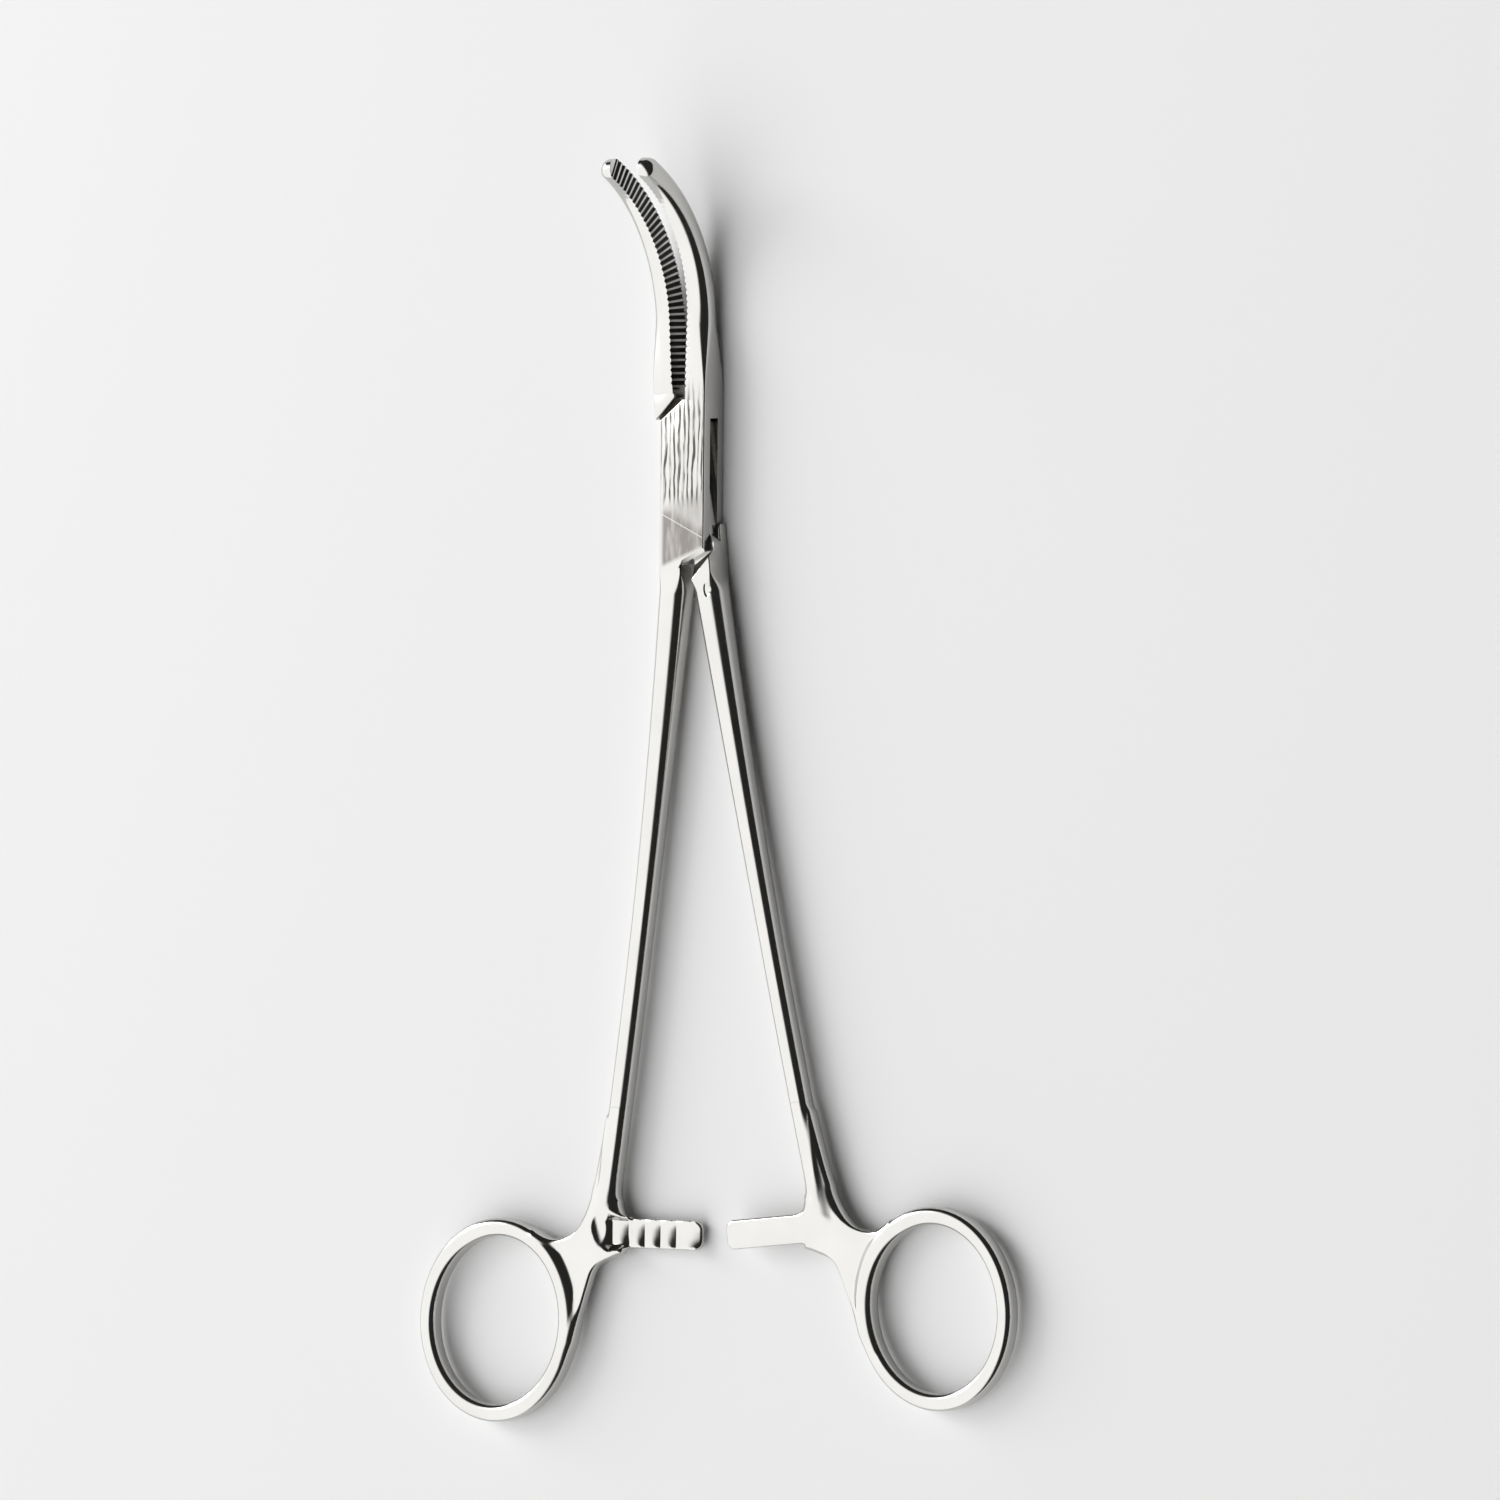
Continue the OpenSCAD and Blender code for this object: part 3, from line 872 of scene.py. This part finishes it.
    def distance(self, points: np.ndarray) -> np.ndarray:
        """Distance from the handle's end: ring, web, shank end, knuckle and arm with fillets, less the scoop.

        Args:
            points: Places with shape (..., 3).

        Returns:
            One distance for each place, negative inside.
        """
        size, fillets = self.sizes, self.fillets
        x, y, z = points[..., 0], points[..., 1], points[..., 2]
        up = z - self.lock.mid
        turn = np.arctan2(y + size.ring_y, x - size.ring_x)
        out = np.hypot(x - size.ring_x, y + size.ring_y) - self.ring_radius(turn)
        rod_part = box_distance(out, up, size.rod_width / 2, size.rod_height / 2, size.rod_round)
        flat = self.web_distance(x, y)
        dish = size.web_dish * smooth_step(-flat / size.web_dish_run)
        edge = size.web_edge
        web = corner_distance(flat + edge, np.abs(up) - size.web / 2 + dish + edge, edge)
        past = -y - size.joint_y + size.joint_half
        thick = size.thick_ring / 2 - size.joint_dip * smooth_step(size.joint_lap - past)
        corner = size.thick_ring * size.corner_share
        bar = box_distance((x - self.centre(-y)) * self.slant(), up, thick, thick, corner)
        bar = blend_max(bar, -y - size.y_ring - size.bar_tail, size.bar_round)
        body = blend_min(rod_part, web, fillets.ring_web)
        body = blend_min(body, bar, fillets.shank)
        across = y + size.arm_y - size.hump_ahead
        knuckle = self.hump(x - size.x_ring - size.knuckle_in, across, up, size.knuckle)
        body = blend_min(body, knuckle, fillets.knuckle)
        wall = size.tooth_start + size.tooth_pitch * size.teeth
        bench = self.tooth_top(x, y) + size.wall_slope * np.maximum(x - wall, 0)
        bench = bench + size.side_slope * np.maximum(np.abs(y + size.arm_y) - size.side_start, 0)
        body = blend_max(body, (z - bench) * size.bench_share, fillets.bench)
        body = blend_min(body, self.arm_distance(x, y, z), fillets.arm)
        over = z - self.lock.mid - size.scoop_height
        scoop = self.hump(x - size.x_ring - size.scoop_in, across, over, size.scoop)
        body = blend_max(body, -scoop, fillets.scoop)
        return np.maximum(body, y + size.joint_y - size.joint_half)

    def end(self) -> Shell:
        """The handle's end as one blended surface."""
        size = self.sizes
        past_arm, past_ring, past_joint, half = 0.8, 18, 1.2, 2.4
        low = np.array([-size.arm_reach - past_arm, -size.ring_y - past_ring, self.lock.mid - half])
        high = np.array([size.ring_x + past_ring, -size.joint_y + past_joint, self.lock.mid + half])
        return surface_of(self.distance, low, high, size.cell)


@dataclass
class BoxLock:
    """The crossed joint: two plates with a slot, and the tongue that turns in it."""

    sizes: LockSizes

    def plates(self) -> Shell:
        """The two plates with the roots of their jaw, on the +X side, and shank.

        Returns:
            The shell.
        """
        size = self.sizes
        half, clear, root = size.half, size.middle_clear, size.shank_end + size.root
        outline = [
            (-half, -root),
            (-clear, -root),
            (-clear, -size.shank_end),
            (half, -size.shank_end + rise(size.shank_slope, half)),
            (half, size.jaw_end),
            (clear, size.jaw_end),
            (-half, size.jaw_end - rise(size.jaw_slope, half + clear)),
        ]
        body = prism("plates", outline, 0, size.thickness, size.edge_round)
        slot = [
            (half + CUT_OVER, -root - CUT_OVER),
            (0, -root - CUT_OVER),
            (0, -size.slot_middle),
            (-half - CUT_OVER, -size.slot_side + size.slot_drop),
            (-half - CUT_OVER, size.jaw_end + CUT_OVER),
            (0, size.jaw_end + CUT_OVER),
            (0, size.slot_middle),
            (half + CUT_OVER, size.slot_side - size.slot_drop),
        ]
        under = [
            (clear - size.back_in, -size.shank_end),
            (half + CUT_OVER, -size.shank_end - CUT_OVER),
            (half + CUT_OVER, -size.shank_end + rise(size.back_slope, half + CUT_OVER)),
        ]
        cutters = [
            prism("slot", slot, size.plate, size.thickness - size.plate),
            prism("back", under, -CUT_OVER, size.plate + 0.001),
            self.end_cutter(),
            rod("bore", (0, 0, size.mid), (0, 0, 1), size.pin_radius, size.thickness + 2),
        ]
        return shell_of(combine(body, cutters, "DIFFERENCE"), Finish.POLISHED)

    def end_cutter(self) -> bpy.types.Object:
        """A bar turned on its edge and tapered at its start, which bevels the front plate's shank end."""
        size = self.sizes
        side = size.end_bevel / 2
        start, full, end = -0.8, 0.5, 14
        outline = [(start, -side), (end, -side), (end, side), (full, side), (start, -0.6 * side)]
        bar = prism("bevel", outline, -side, side)
        place = Matrix.Translation((0, -size.shank_end, size.thickness))
        place = place @ Matrix.Rotation(math.radians(size.shank_slope), 4, "Z")
        bar.data.transform(place @ Matrix.Rotation(-math.pi / 4, 4, "X"))
        return bar

    def tongue(self) -> Shell:
        """The tongue with the roots of its jaw, on the -X side, and shank.

        Returns:
            The shell.
        """
        size = self.sizes
        half, clear, root = size.half, size.middle_clear, size.shank_end + size.root
        wide, end = size.tongue_width / 2, size.tongue_end
        flat = [
            (-half, size.jaw_end + size.tongue_lap),
            (-clear, size.jaw_end + size.tongue_lap),
            (-clear, size.slot_side + 1),
            (wide, end),
            (wide, 1 - end),
            (half, -end - size.cheek),
            (half, -root),
            (clear, -root),
            (clear, -size.slot_side - 1),
            (-wide, -end),
            (-wide, end - 1),
            (-half, end + size.cheek),
        ]
        bottom = size.plate + size.slot_clear
        body = prism("tongue", flat, bottom, size.thickness - bottom, size.tongue_round)
        jaw_y = size.jaw_end + size.shoulder_clear / math.cos(math.radians(size.jaw_slope))
        shoulder = [
            (-clear, jaw_y + size.shoulder_lap),
            (-half, jaw_y + size.shoulder_lap),
            (-half, jaw_y - rise(size.jaw_slope, half)),
            (-clear, jaw_y),
        ]
        parts = [
            prism("jaw_shoulder", shoulder, 0, size.thickness, size.edge_round),
            prism("shank_shoulder", self.shank_root(size.shank_slope), 0, size.thickness, size.edge_round),
            prism("back_shoulder", self.shank_root(size.back_slope), 0, bottom + size.back_lap, size.edge_round),
        ]
        body = combine(body, parts, "UNION")
        slope, reach = math.radians(size.throat_slope), size.throat_reach
        throat = rod(
            "throat",
            (
                half - reach * math.sin(slope),
                -size.throat_y + reach * math.cos(slope),
                size.thickness - bottom + size.throat_radius,
            ),
            (math.cos(slope), math.sin(slope), 0),
            size.throat_radius,
            60,
        )
        bore = rod("bore", (0, 0, size.mid), (0, 0, 1), size.pin_radius + size.pin_clear, size.thickness + 2)
        shell = shell_of(combine(body, [throat, bore], "DIFFERENCE"), Finish.POLISHED)
        # The faces in the hollow ramp get the dark material with painted shade.
        shell.finish[size.in_throat(shell.points)[shell.tris].all(axis=1)] = Finish.RECESS_SHADE.value
        return shell

    def shank_root(self, slope: float) -> list[tuple[float, float]]:
        """Outline of the tongue half's shank root, which ends beside a plate end of that slope."""
        size = self.sizes
        y0 = -size.shank_end - size.shoulder_clear / math.cos(math.radians(slope))
        return [
            (size.middle_clear, -size.shank_end - size.root),
            (size.half, -size.shank_end - size.root),
            (size.half, y0 + rise(slope, size.half)),
            (size.middle_clear, y0),
        ]

    def pin(self) -> Shell:
        """The pivot pin: a profile of radius against height, with a fine chamfer, turned about the pivot."""
        size = self.sizes
        chamfer = 0.02
        top, wide = size.thickness, size.pin_radius
        return carried(turned([wide - chamfer, wide, wide, wide - chamfer], [0, chamfer, top - chamfer, top]))


def linear(code: str) -> tuple[float, float, float, float]:
    """Turns an sRGB hex colour to the linear values that shaders take.

    Args:
        code: Six hex digits after a number sign.

    Returns:
        Linear red, green and blue, and an alpha of 1.
    """
    parts = [int(code[i : i + 2], 16) / 255 for i in (1, 3, 5)]
    red, green, blue = (c / 12.92 if c <= 0.04045 else ((c + 0.055) / 1.055) ** 2.4 for c in parts)
    return red, green, blue, 1.0


@dataclass
class Nodes:
    """Adds the nodes of one tree.

    Attributes:
        tree: The node tree.
    """

    tree: bpy.types.NodeTree

    @classmethod
    def of(cls, owner: bpy.types.Material | bpy.types.World) -> "Nodes":
        """The node tree of a material or world, without the nodes that it comes with."""
        owner.use_nodes = True
        owner.node_tree.nodes.clear()
        return cls(owner.node_tree)

    def add(self, kind: str, inputs: dict | None = None, **settings: object) -> bpy.types.Node:
        """Adds a node with its settings, values and links.

        Args:
            kind: The node's type, without the words that all of them start with.
            inputs: Socket names or numbers, each with a value or with the socket that feeds it.
            **settings: Properties of the node.

        Returns:
            The node.
        """
        node = self.tree.nodes.new("ShaderNode" + kind)
        for name, value in settings.items():
            setattr(node, name, value)
        for name, value in (inputs or {}).items():
            if isinstance(value, bpy.types.NodeSocket):
                self.tree.links.new(value, node.inputs[name])
            else:
                node.inputs[name].default_value = value
        return node

    def math(self, operation: str, *values: object) -> object:
        """The result of an operation on values."""
        return self.add("Math", dict(enumerate(values)), operation=operation).outputs[0]

    def product(self, first: object, *others: object) -> object:
        """The product of values, multiplied in turn."""
        for other in others:
            first = self.math("MULTIPLY", first, other)
        return first

    def dot(self, place: object, direction: tuple[float, float, float]) -> object:
        """How far a place lies along a direction."""
        return self.add("VectorMath", {0: place, 1: direction}, operation="DOT_PRODUCT").outputs["Value"]

    def mapped(self, place: object, turn: tuple = (0, 0, 0), scale: tuple = (1, 1, 1)) -> object:
        """A place after it was scaled, and then turned about the origin."""
        return self.add("Mapping", {0: place, 2: turn, 3: scale}).outputs[0]

    def noise(self, place: object, size: float, detail: float = 2.0) -> object:
        """Smooth noise whose features have a size in millimetres."""
        return self.add("TexNoise", {0: place, "Scale": 1 / (size * MM), "Detail": detail}).outputs[0]

    def mixed(self, factor: object, first: object, second: object) -> object:
        """A blend of two colours by a factor."""
        return self.add("Mix", {0: factor, 6: first, 7: second}, data_type="RGBA").outputs[2]

    def spread(self, value: object, low: float, high: float, start: float = 0.0, end: float = 1.0) -> object:
        """A smooth ramp from start to end while a value goes from low to high."""
        inputs = {"Value": value, "From Min": low, "From Max": high, "To Min": start, "To Max": end}
        return self.add("MapRange", inputs, interpolation_type="SMOOTHSTEP").outputs[0]

    def between(self, value: object, places: tuple[float, float], start: float = 0.0, end: float = 1.0) -> object:
        """A smooth ramp from start to end between two places in millimetres."""
        return self.spread(value, places[0] * MM, places[1] * MM, start, end)


@dataclass(frozen=True)
class PaintedPlateShade:
    """Painted shade on the lock's front plate, dark lines and a grey patch, in millimetres and in the half's own
    axes.

    Attributes:
        pitch: Distance between two dark lines of painted shade.
        wobble: How far a line wanders.
        wobble_mm: Over which distance it wanders.
        break_mm: Size of the noise that breaks the lines up.
        lines_from: Where the lines are fully out and fully in, near the shank.
        lines_to: The same near the jaw.
        scratch: Distance from the pivot of the clear line, a long thin line where the patch is weak, along its own
            normal.
        clear_line_normal: Direction across the clear line.
        patch_normal: Direction across the ends of the dull patch.
        line_shade_colour: Painted shade colour in the bottom of a line.
        patch_shade_colour: Painted shade colour of the patch.
        patch_rough: Roughness that the patch adds.
        line_bite: Depth of a line against a polishing line.
        level_top: Heights between which a place starts to count as the plate's top.
        facing_up: Upward parts of the normal between which a face starts to count as level.
        patch_from: Where the patch starts and is full, across its ends.
        patch_to: Where it has ended and is full.
        patch_side: Where it has ended and is full at the plate's side.
        clear_line_half: Half of the clear line's width, where it is clear and where it is gone.
        shade_and_dull_side: Across the clear line, where the patch is full and where it is weaker.
    """

    pitch: float = 0.95
    wobble: float = 1.6
    wobble_mm: float = 2.2
    break_mm: float = 0.8
    lines_from: tuple[float, float] = (-4.5, -1.5)
    lines_to: tuple[float, float] = (17.5, 11.0)
    scratch: float = 6.35
    clear_line_normal: tuple[float, float, float] = (0.397, 0.918, 0.0)
    patch_normal: tuple[float, float, float] = (-0.375, 0.927, 0.0)
    line_shade_colour: str = "#4E4B48"
    patch_shade_colour: str = "#7C7875"
    patch_rough: float = 0.22
    line_bite: float = -3.0
    level_top: tuple[float, float] = (4.9, 5.1)
    facing_up: tuple[float, float] = (0.93, 0.99)
    patch_from: tuple[float, float] = (-1.5, -4.0)
    patch_to: tuple[float, float] = (-11.6, -10.6)
    patch_side: tuple[float, float] = (-4.3, -3.4)
    clear_line_half: tuple[float, float] = (0.05, 0.12)
    shade_and_dull_side: tuple[float, float] = (-6.3, -4.2)

    def marks(self, nodes: Nodes, own: object) -> tuple[object, object]:
        """Painted shade: dark lines, and the grey patch below them, which is also duller.

        The lines are a sine wave across the plate, bent by noise and broken up by noise that is long in their
        own direction. They fade out towards the jaw and the patch. One clear line crosses the patch, where it is
        weak, and the patch is darker and duller on the clear line's far side from the jaw.

        Args:
            nodes: The material's nodes.
            own: Places in the half's own axes.

        Returns:
            How deep a line is, which sets its painted shade and its bump, and how strong the patch's painted shade
            and dullness are, both from 0 to 1.
        """
        split = nodes.add("SeparateXYZ", {0: own})
        x, y, z = (split.outputs[name] for name in "XYZ")
        normal = nodes.add("NewGeometry").outputs["Normal"]
        facing = nodes.spread(nodes.add("SeparateXYZ", {0: normal}).outputs["Z"], *self.facing_up)
        top = nodes.product(facing, nodes.between(z, self.level_top))
        wobble = nodes.noise(nodes.mapped(own, scale=(1, 0.3, 1)), self.wobble_mm)
        bent = nodes.math("MULTIPLY_ADD", wobble, self.wobble * MM, x)
        wave = nodes.math("SINE", nodes.product(bent, 2 * math.pi / (self.pitch * MM)))
        band = nodes.spread(wave, -0.3, 0.7)
        broken = nodes.noise(nodes.mapped(own, scale=(1, 0.16, 1)), self.break_mm)
        kept = nodes.spread(broken, 0.3, 0.55, 0.25, 1.0)
        begin, end = (nodes.between(y, places) for places in (self.lines_from, self.lines_to))
        # Dark lines of painted shade on the plate's flat top, which also set a bump.
        line_shade_and_bump = nodes.product(top, band, kept, begin, end)
        # The grey patch of painted shade, which is also rougher.
        slant = nodes.dot(own, self.patch_normal)
        shade_and_dull, ending = (nodes.between(slant, places) for places in (self.patch_from, self.patch_to))
        patches = nodes.spread(broken, 0.25, 0.6, 0.6, 1.0)
        sides = nodes.between(x, self.patch_side)
        mark = nodes.dot(own, self.clear_line_normal)
        off = nodes.math("ABSOLUTE", nodes.math("ADD", mark, self.scratch * MM))
        scratch = nodes.between(off, self.clear_line_half, 0.2)
        deeper = nodes.between(mark, self.shade_and_dull_side, 1.0, 0.55)
        return line_shade_and_bump, nodes.product(shade_and_dull, ending, patches, sides, scratch, deeper, top)


@dataclass(frozen=True)
class Steel:
    """Stainless steel, forged, ground and polished: a bright, faintly warm grey with soft reflections.

    Attributes:
        name: Name of the material.
        light: Colour where the polish is best.
        dark: Colour where the polish is duller.
        smooth: Lowest roughness.
        rough: Highest roughness.
        line_mm: Width of a polishing line.
        line_depth_mm: Depth of a polishing line.
        line_stretch: How much longer than wide a polishing line is.
        cloud_mm: Size of the patches of duller polish.
        cloud_edge: Noise values between which the polish goes from its best to its dullest.
        plate: The painted shade on its flat top at the lock's front plate, dark lines and a grey patch, or none.
        turn: Turn of the lines about Z in degrees, which is the half's own angle at rest.
    """

    name: str
    light: str = "#C8C7C4"
    dark: str = "#BBBAB7"
    smooth: float = 0.1
    rough: float = 0.18
    line_mm: float = 0.35
    line_depth_mm: float = 0.003
    line_stretch: float = 30
    cloud_mm: float = 9
    cloud_edge: tuple[float, float] = (0.35, 0.65)
    plate: PaintedPlateShade | None = None
    turn: float = 0.0

    def material(self) -> bpy.types.Material:
        """Builds the material.

        Polishing lines are noise stretched along the instrument, and the dull patches are clouds of noise.
        Both are worked out in object coordinates.

        Returns:
            The material.
        """
        material = bpy.data.materials.new(self.name)
        nodes = Nodes.of(material)
        place = nodes.add("TexCoord").outputs["Object"]
        spin = (0, 0, math.radians(self.turn))
        lines = nodes.noise(nodes.mapped(place, spin, (1, 1 / self.line_stretch, 1)), self.line_mm, 3.0)
        clouds = nodes.noise(place, self.cloud_mm)
        rough = nodes.spread(clouds, *self.cloud_edge, self.smooth, self.rough)
        colour = nodes.mixed(clouds, linear(self.light), linear(self.dark))
        height = lines
        # Painted shade on the plate's flat top: dark lines and a grey patch, which is also rougher.
        if self.plate:
            line_shade_and_bump, shade_and_dull = self.plate.marks(nodes, nodes.mapped(place, spin))
            colour = nodes.mixed(shade_and_dull, colour, linear(self.plate.patch_shade_colour))
            colour = nodes.mixed(line_shade_and_bump, colour, linear(self.plate.line_shade_colour))
            rough = nodes.math("MULTIPLY_ADD", shade_and_dull, self.plate.patch_rough, rough)
            height = nodes.math("MULTIPLY_ADD", line_shade_and_bump, self.plate.line_bite, lines)
        depth = self.line_depth_mm * MM
        bump = nodes.add("Bump", {"Height": height, "Strength": 1.0, "Distance": depth}).outputs[0]
        inputs = {"Base Color": colour, "Metallic": 1.0, "Roughness": rough, "Normal": bump}
        shader = nodes.add("BsdfPrincipled", inputs)
        nodes.add("OutputMaterial", {"Surface": shader.outputs[0]})
        return material

@dataclass
class Forceps:
    """The whole instrument."""

    lock: LockSizes = field(default_factory=LockSizes)
    jaw: JawSizes = field(default_factory=JawSizes)
    handle: HandleSizes = field(default_factory=HandleSizes)
    rest_half_angle: float = 3.0
    groove_start: float = 0.3
    plate_jaw_root: float = 1.4
    tongue_jaw_root: float = 0.8
    tongue_jaw_merge: float = 1.0

    def piece(
        self,
        name: str,
        shells: list[Shell],
        turn: float,
        body: str,
        node: str,
        finishes: list[Steel],
    ) -> None:
        """Makes one forging or pin into an object that stands for its solid.

        Args:
            name: Name of the object.
            shells: Its closed surfaces, which overlap where they meet.
            turn: Angle about the pivot in degrees.
            body: The body it moves with.
            node: The solid it stands for.
            finishes: Its finishes, in slot order.
        """
        points = np.concatenate([shell.points for shell in shells])
        angle = math.radians(turn)
        spin = np.array([[math.cos(angle), -math.sin(angle), 0], [math.sin(angle), math.cos(angle), 0], [0, 0, 1]])
        offsets = np.cumsum([0] + [len(shell.points) for shell in shells[:-1]])
        loops = np.concatenate([
            np.concatenate([(shell.quads + offset).ravel(), (shell.tris + offset).ravel()])
            for shell, offset in zip(shells, offsets)
        ])
        sizes = np.concatenate([np.repeat([4, 3], [len(shell.quads), len(shell.tris)]) for shell in shells])
        mesh = bpy.data.meshes.new(name)
        mesh.vertices.add(len(points))
        mesh.vertices.foreach_set("co", (points @ spin.T * MM).ravel())
        mesh.loops.add(len(loops))
        mesh.loops.foreach_set("vertex_index", loops)
        mesh.polygons.add(len(sizes))
        mesh.polygons.foreach_set("loop_start", np.cumsum(sizes) - sizes)
        mesh.polygons.foreach_set("loop_total", sizes)
        for finish in finishes:
            mesh.materials.append(finish.material())
        mesh.polygons.foreach_set("material_index", np.concatenate([shell.finishes() for shell in shells]))
        mesh.update(calc_edges=True)
        mesh.validate()
        mesh.shade_smooth()
        mesh.set_sharp_from_angle(angle=math.radians(SHARP_DEGREES))
        obj = linked(name, mesh)
        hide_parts(node)
        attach(obj, body)
        LOG.info("%s: %d faces", name, len(sizes))

    def build(self) -> None:
        """Builds both halves and the pin."""
        box_lock = BoxLock(self.lock)
        handle = Handle(self.handle, self.lock)
        end, shank = handle.end(), handle.shank()
        near, far = self.jaw_pair()
        # Bright, with a fine grain along the instrument that draws each reflection out a little.
        polished = Steel("polished_stainless_steel", turn=-self.rest_half_angle)
        # The same, with wandering dark lines and a grey field of painted shade on the plate's flat top; the field is
        # also duller.
        plate = Steel("polished_steel_with_plate_painted_shade", turn=self.rest_half_angle, plate=PaintedPlateShade())
        # Pale and even: a painted highlight on the flat lands, which are also rougher and scatter the light.
        land_highlight = Steel("serration_lands_painted_highlight", light="#E6E5E2", dark="#DAD9D6", smooth=0.3, rough=0.4)
        # Dark: painted shade in the grooves, which the cutter also left rough.
        groove_shade = Steel("serration_grooves_painted_shade", light="#454341", dark="#33312F", smooth=0.4, rough=0.55)
        # Dark brown-grey: painted shade in the hollow ramp, which is also rougher.
        recess_shade = Steel("hollow_ramp_painted_shade", light="#5C5650", dark="#443F3A", smooth=0.35, rough=0.5)
        self.piece(
            "plate_half_forging",
            [near.shell(), box_lock.plates(), shank.moved(self.left), end.moved(self.left)],
            -self.rest_half_angle, "female", "female_half", [plate, land_highlight, groove_shade],
        )
        self.piece(
            "tongue_half_forging",
            [far.shell().moved(self.left), box_lock.tongue(), handle.shank(tongue_side=True), end.moved(self.over)],
            self.rest_half_angle, "male", "male_half", [polished, land_highlight, groove_shade, recess_shade],
        )
        self.piece("flush_pivot_pin", [box_lock.pin()], 0.0, "female", "pivot_pin", [plate])

    @staticmethod
    def left(points: np.ndarray) -> np.ndarray:
        """Mirrors points to the left of the middle line."""
        return points * np.array([-1.0, 1, 1])

    def over(self, points: np.ndarray) -> np.ndarray:
        """Mirrors points in the lock's middle plane, which turns the teeth down."""
        return points * np.array([1, 1, -1]) + np.array([0, 0, self.lock.thickness])

    def jaw_pair(self) -> tuple[Jaw, Jaw]:
        """Both jaws, with their serrations half a pitch apart so that lands meet grooves."""
        first, end = self.groove_start, self.lock.jaw_end
        near = Jaw(self.jaw, self.lock, first, end - self.plate_jaw_root, end)
        first += self.jaw.groove_pitch / 2
        return near, Jaw(self.jaw, self.lock, first, end + self.tongue_jaw_root, end + self.tongue_jaw_merge)


@dataclass
class Studio:
    """The pale table, the lamp in its room, and the camera.

    Attributes:
        pivot_pixel: Where the photograph shows the middle of the lock.
        mm_per_pixel: Size of the photograph's pixel at the object.
        swing: Angle in degrees by which the camera stands over to the right of straight above.
        lean: Angle in degrees by which the instrument leans left in the picture.
        lens: Focal length in millimetres.
        table_reach: Half of the table's side in metres.
        lamp_place: Place of the lamp in metres.
        lamp_aim: The point that the lamp faces.
        lamp_size: Width and length of the lamp in metres.
        lamp_power: Power of the lamp in watts.
        sky_axis: Direction of the pale side of the room.
        sky_edge: Cosines between which the room goes from dim to pale.
        sky_level: Strength of the dim and of the pale side.
    """

    pivot_pixel: tuple[float, float] = (691.5, 482.4)
    mm_per_pixel: float = 0.1615
    swing: float = 38.0
    lean: float = 1.82
    lens: float = 1500.0
    table_reach: float = 3.0
    lamp_place: tuple[float, float, float] = (-1.05, 0.45, 0.5)
    lamp_aim: tuple[float, float, float] = (0.0, -0.04, 0.0)
    lamp_size: tuple[float, float] = (0.4, 1.0)
    lamp_power: float = 7.0
    sky_axis: tuple[float, float, float] = (-0.70, -0.40, 0.59)
    sky_edge: tuple[float, float] = (0.4, 0.68)
    sky_level: tuple[float, float] = (0.03, 1.65)

    def camera(self, height: float) -> None:
        """Places the camera so that the lock lands on its pixel.

        Args:
            height: Height of the lock's middle plane in millimetres.
        """
        swing, lean = math.radians(self.swing), math.radians(self.lean)
        back = Vector((math.sin(swing), 0, math.cos(swing)))
        flat = Vector((math.cos(swing), 0, -math.sin(swing)))
        right = flat * math.cos(lean) - Vector((0, 1, 0)) * math.sin(lean)
        up = flat * math.sin(lean) + Vector((0, 1, 0)) * math.cos(lean)
        across = (PHOTO_PIXELS / 2 - self.pivot_pixel[0]) * self.mm_per_pixel * MM
        down = (PHOTO_PIXELS / 2 - self.pivot_pixel[1]) * self.mm_per_pixel * MM
        target = Vector((0, 0, height * MM)) + right * across - up * down
        data = bpy.data.cameras.new("camera")
        data.lens = self.lens
        data.sensor_width = SENSOR_MM
        distance = self.lens / data.sensor_width * PHOTO_PIXELS * self.mm_per_pixel * MM
        data.clip_end = 30.0
        obj = linked("camera", data)
        frame = Matrix((right, up, back)).transposed().to_4x4()
        obj.matrix_world = Matrix.Translation(target + back * distance) @ frame
        bpy.context.scene.camera = obj

    def table(self) -> None:
        """A pale, matt table top."""
        reach = self.table_reach
        corners = [(-reach, -reach, 0), (reach, -reach, 0), (reach, reach, 0), (-reach, reach, 0)]
        obj = mesh_object("table_top", corners, [(0, 1, 2, 3)])
        # Even and pale, so that the steel's own tones carry the picture.
        material = bpy.data.materials.new("matt_white_laminate")
        nodes = Nodes.of(material)
        shader = nodes.add("BsdfDiffuse", {"Color": linear("#F8F8F8")})
        nodes.add("OutputMaterial", {"Surface": shader.outputs[0]})
        obj.data.materials.append(material)

    def light(self) -> None:
        """A long soft lamp over the left side, in a room that is pale on that side and dim on the other."""
        data = bpy.data.lights.new("soft_left", "AREA")
        data.shape = "RECTANGLE"
        data.size, data.size_y = self.lamp_size
        data.energy = self.lamp_power
        obj = linked("soft_left", data)
        place = Vector(self.lamp_place)
        obj.location = place
        obj.rotation_euler = (Vector(self.lamp_aim) - place).to_track_quat("-Z", "Y").to_euler()
        world = bpy.data.worlds.new("pale_room")
        bpy.context.scene.world = world
        nodes = Nodes.of(world)
        pale = nodes.dot(nodes.add("TexCoord").outputs["Generated"], self.sky_axis)
        level = nodes.spread(pale, *self.sky_edge, *self.sky_level)
        surround = nodes.add("Background", {"Color": linear("#FFFFFF"), "Strength": level})
        nodes.add("OutputWorld", {"Surface": surround.outputs[0]})


def main() -> None:
    """Loads the frame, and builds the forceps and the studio."""
    logging.basicConfig(level=logging.INFO, format="%(name)s: %(message)s")
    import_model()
    bpy.context.scene.view_settings.view_transform = "Standard"
    forceps = Forceps()
    studio = Studio()
    studio.camera(forceps.lock.mid)
    studio.table()
    studio.light()
    forceps.build()


if __name__ == "__main__":
    main()
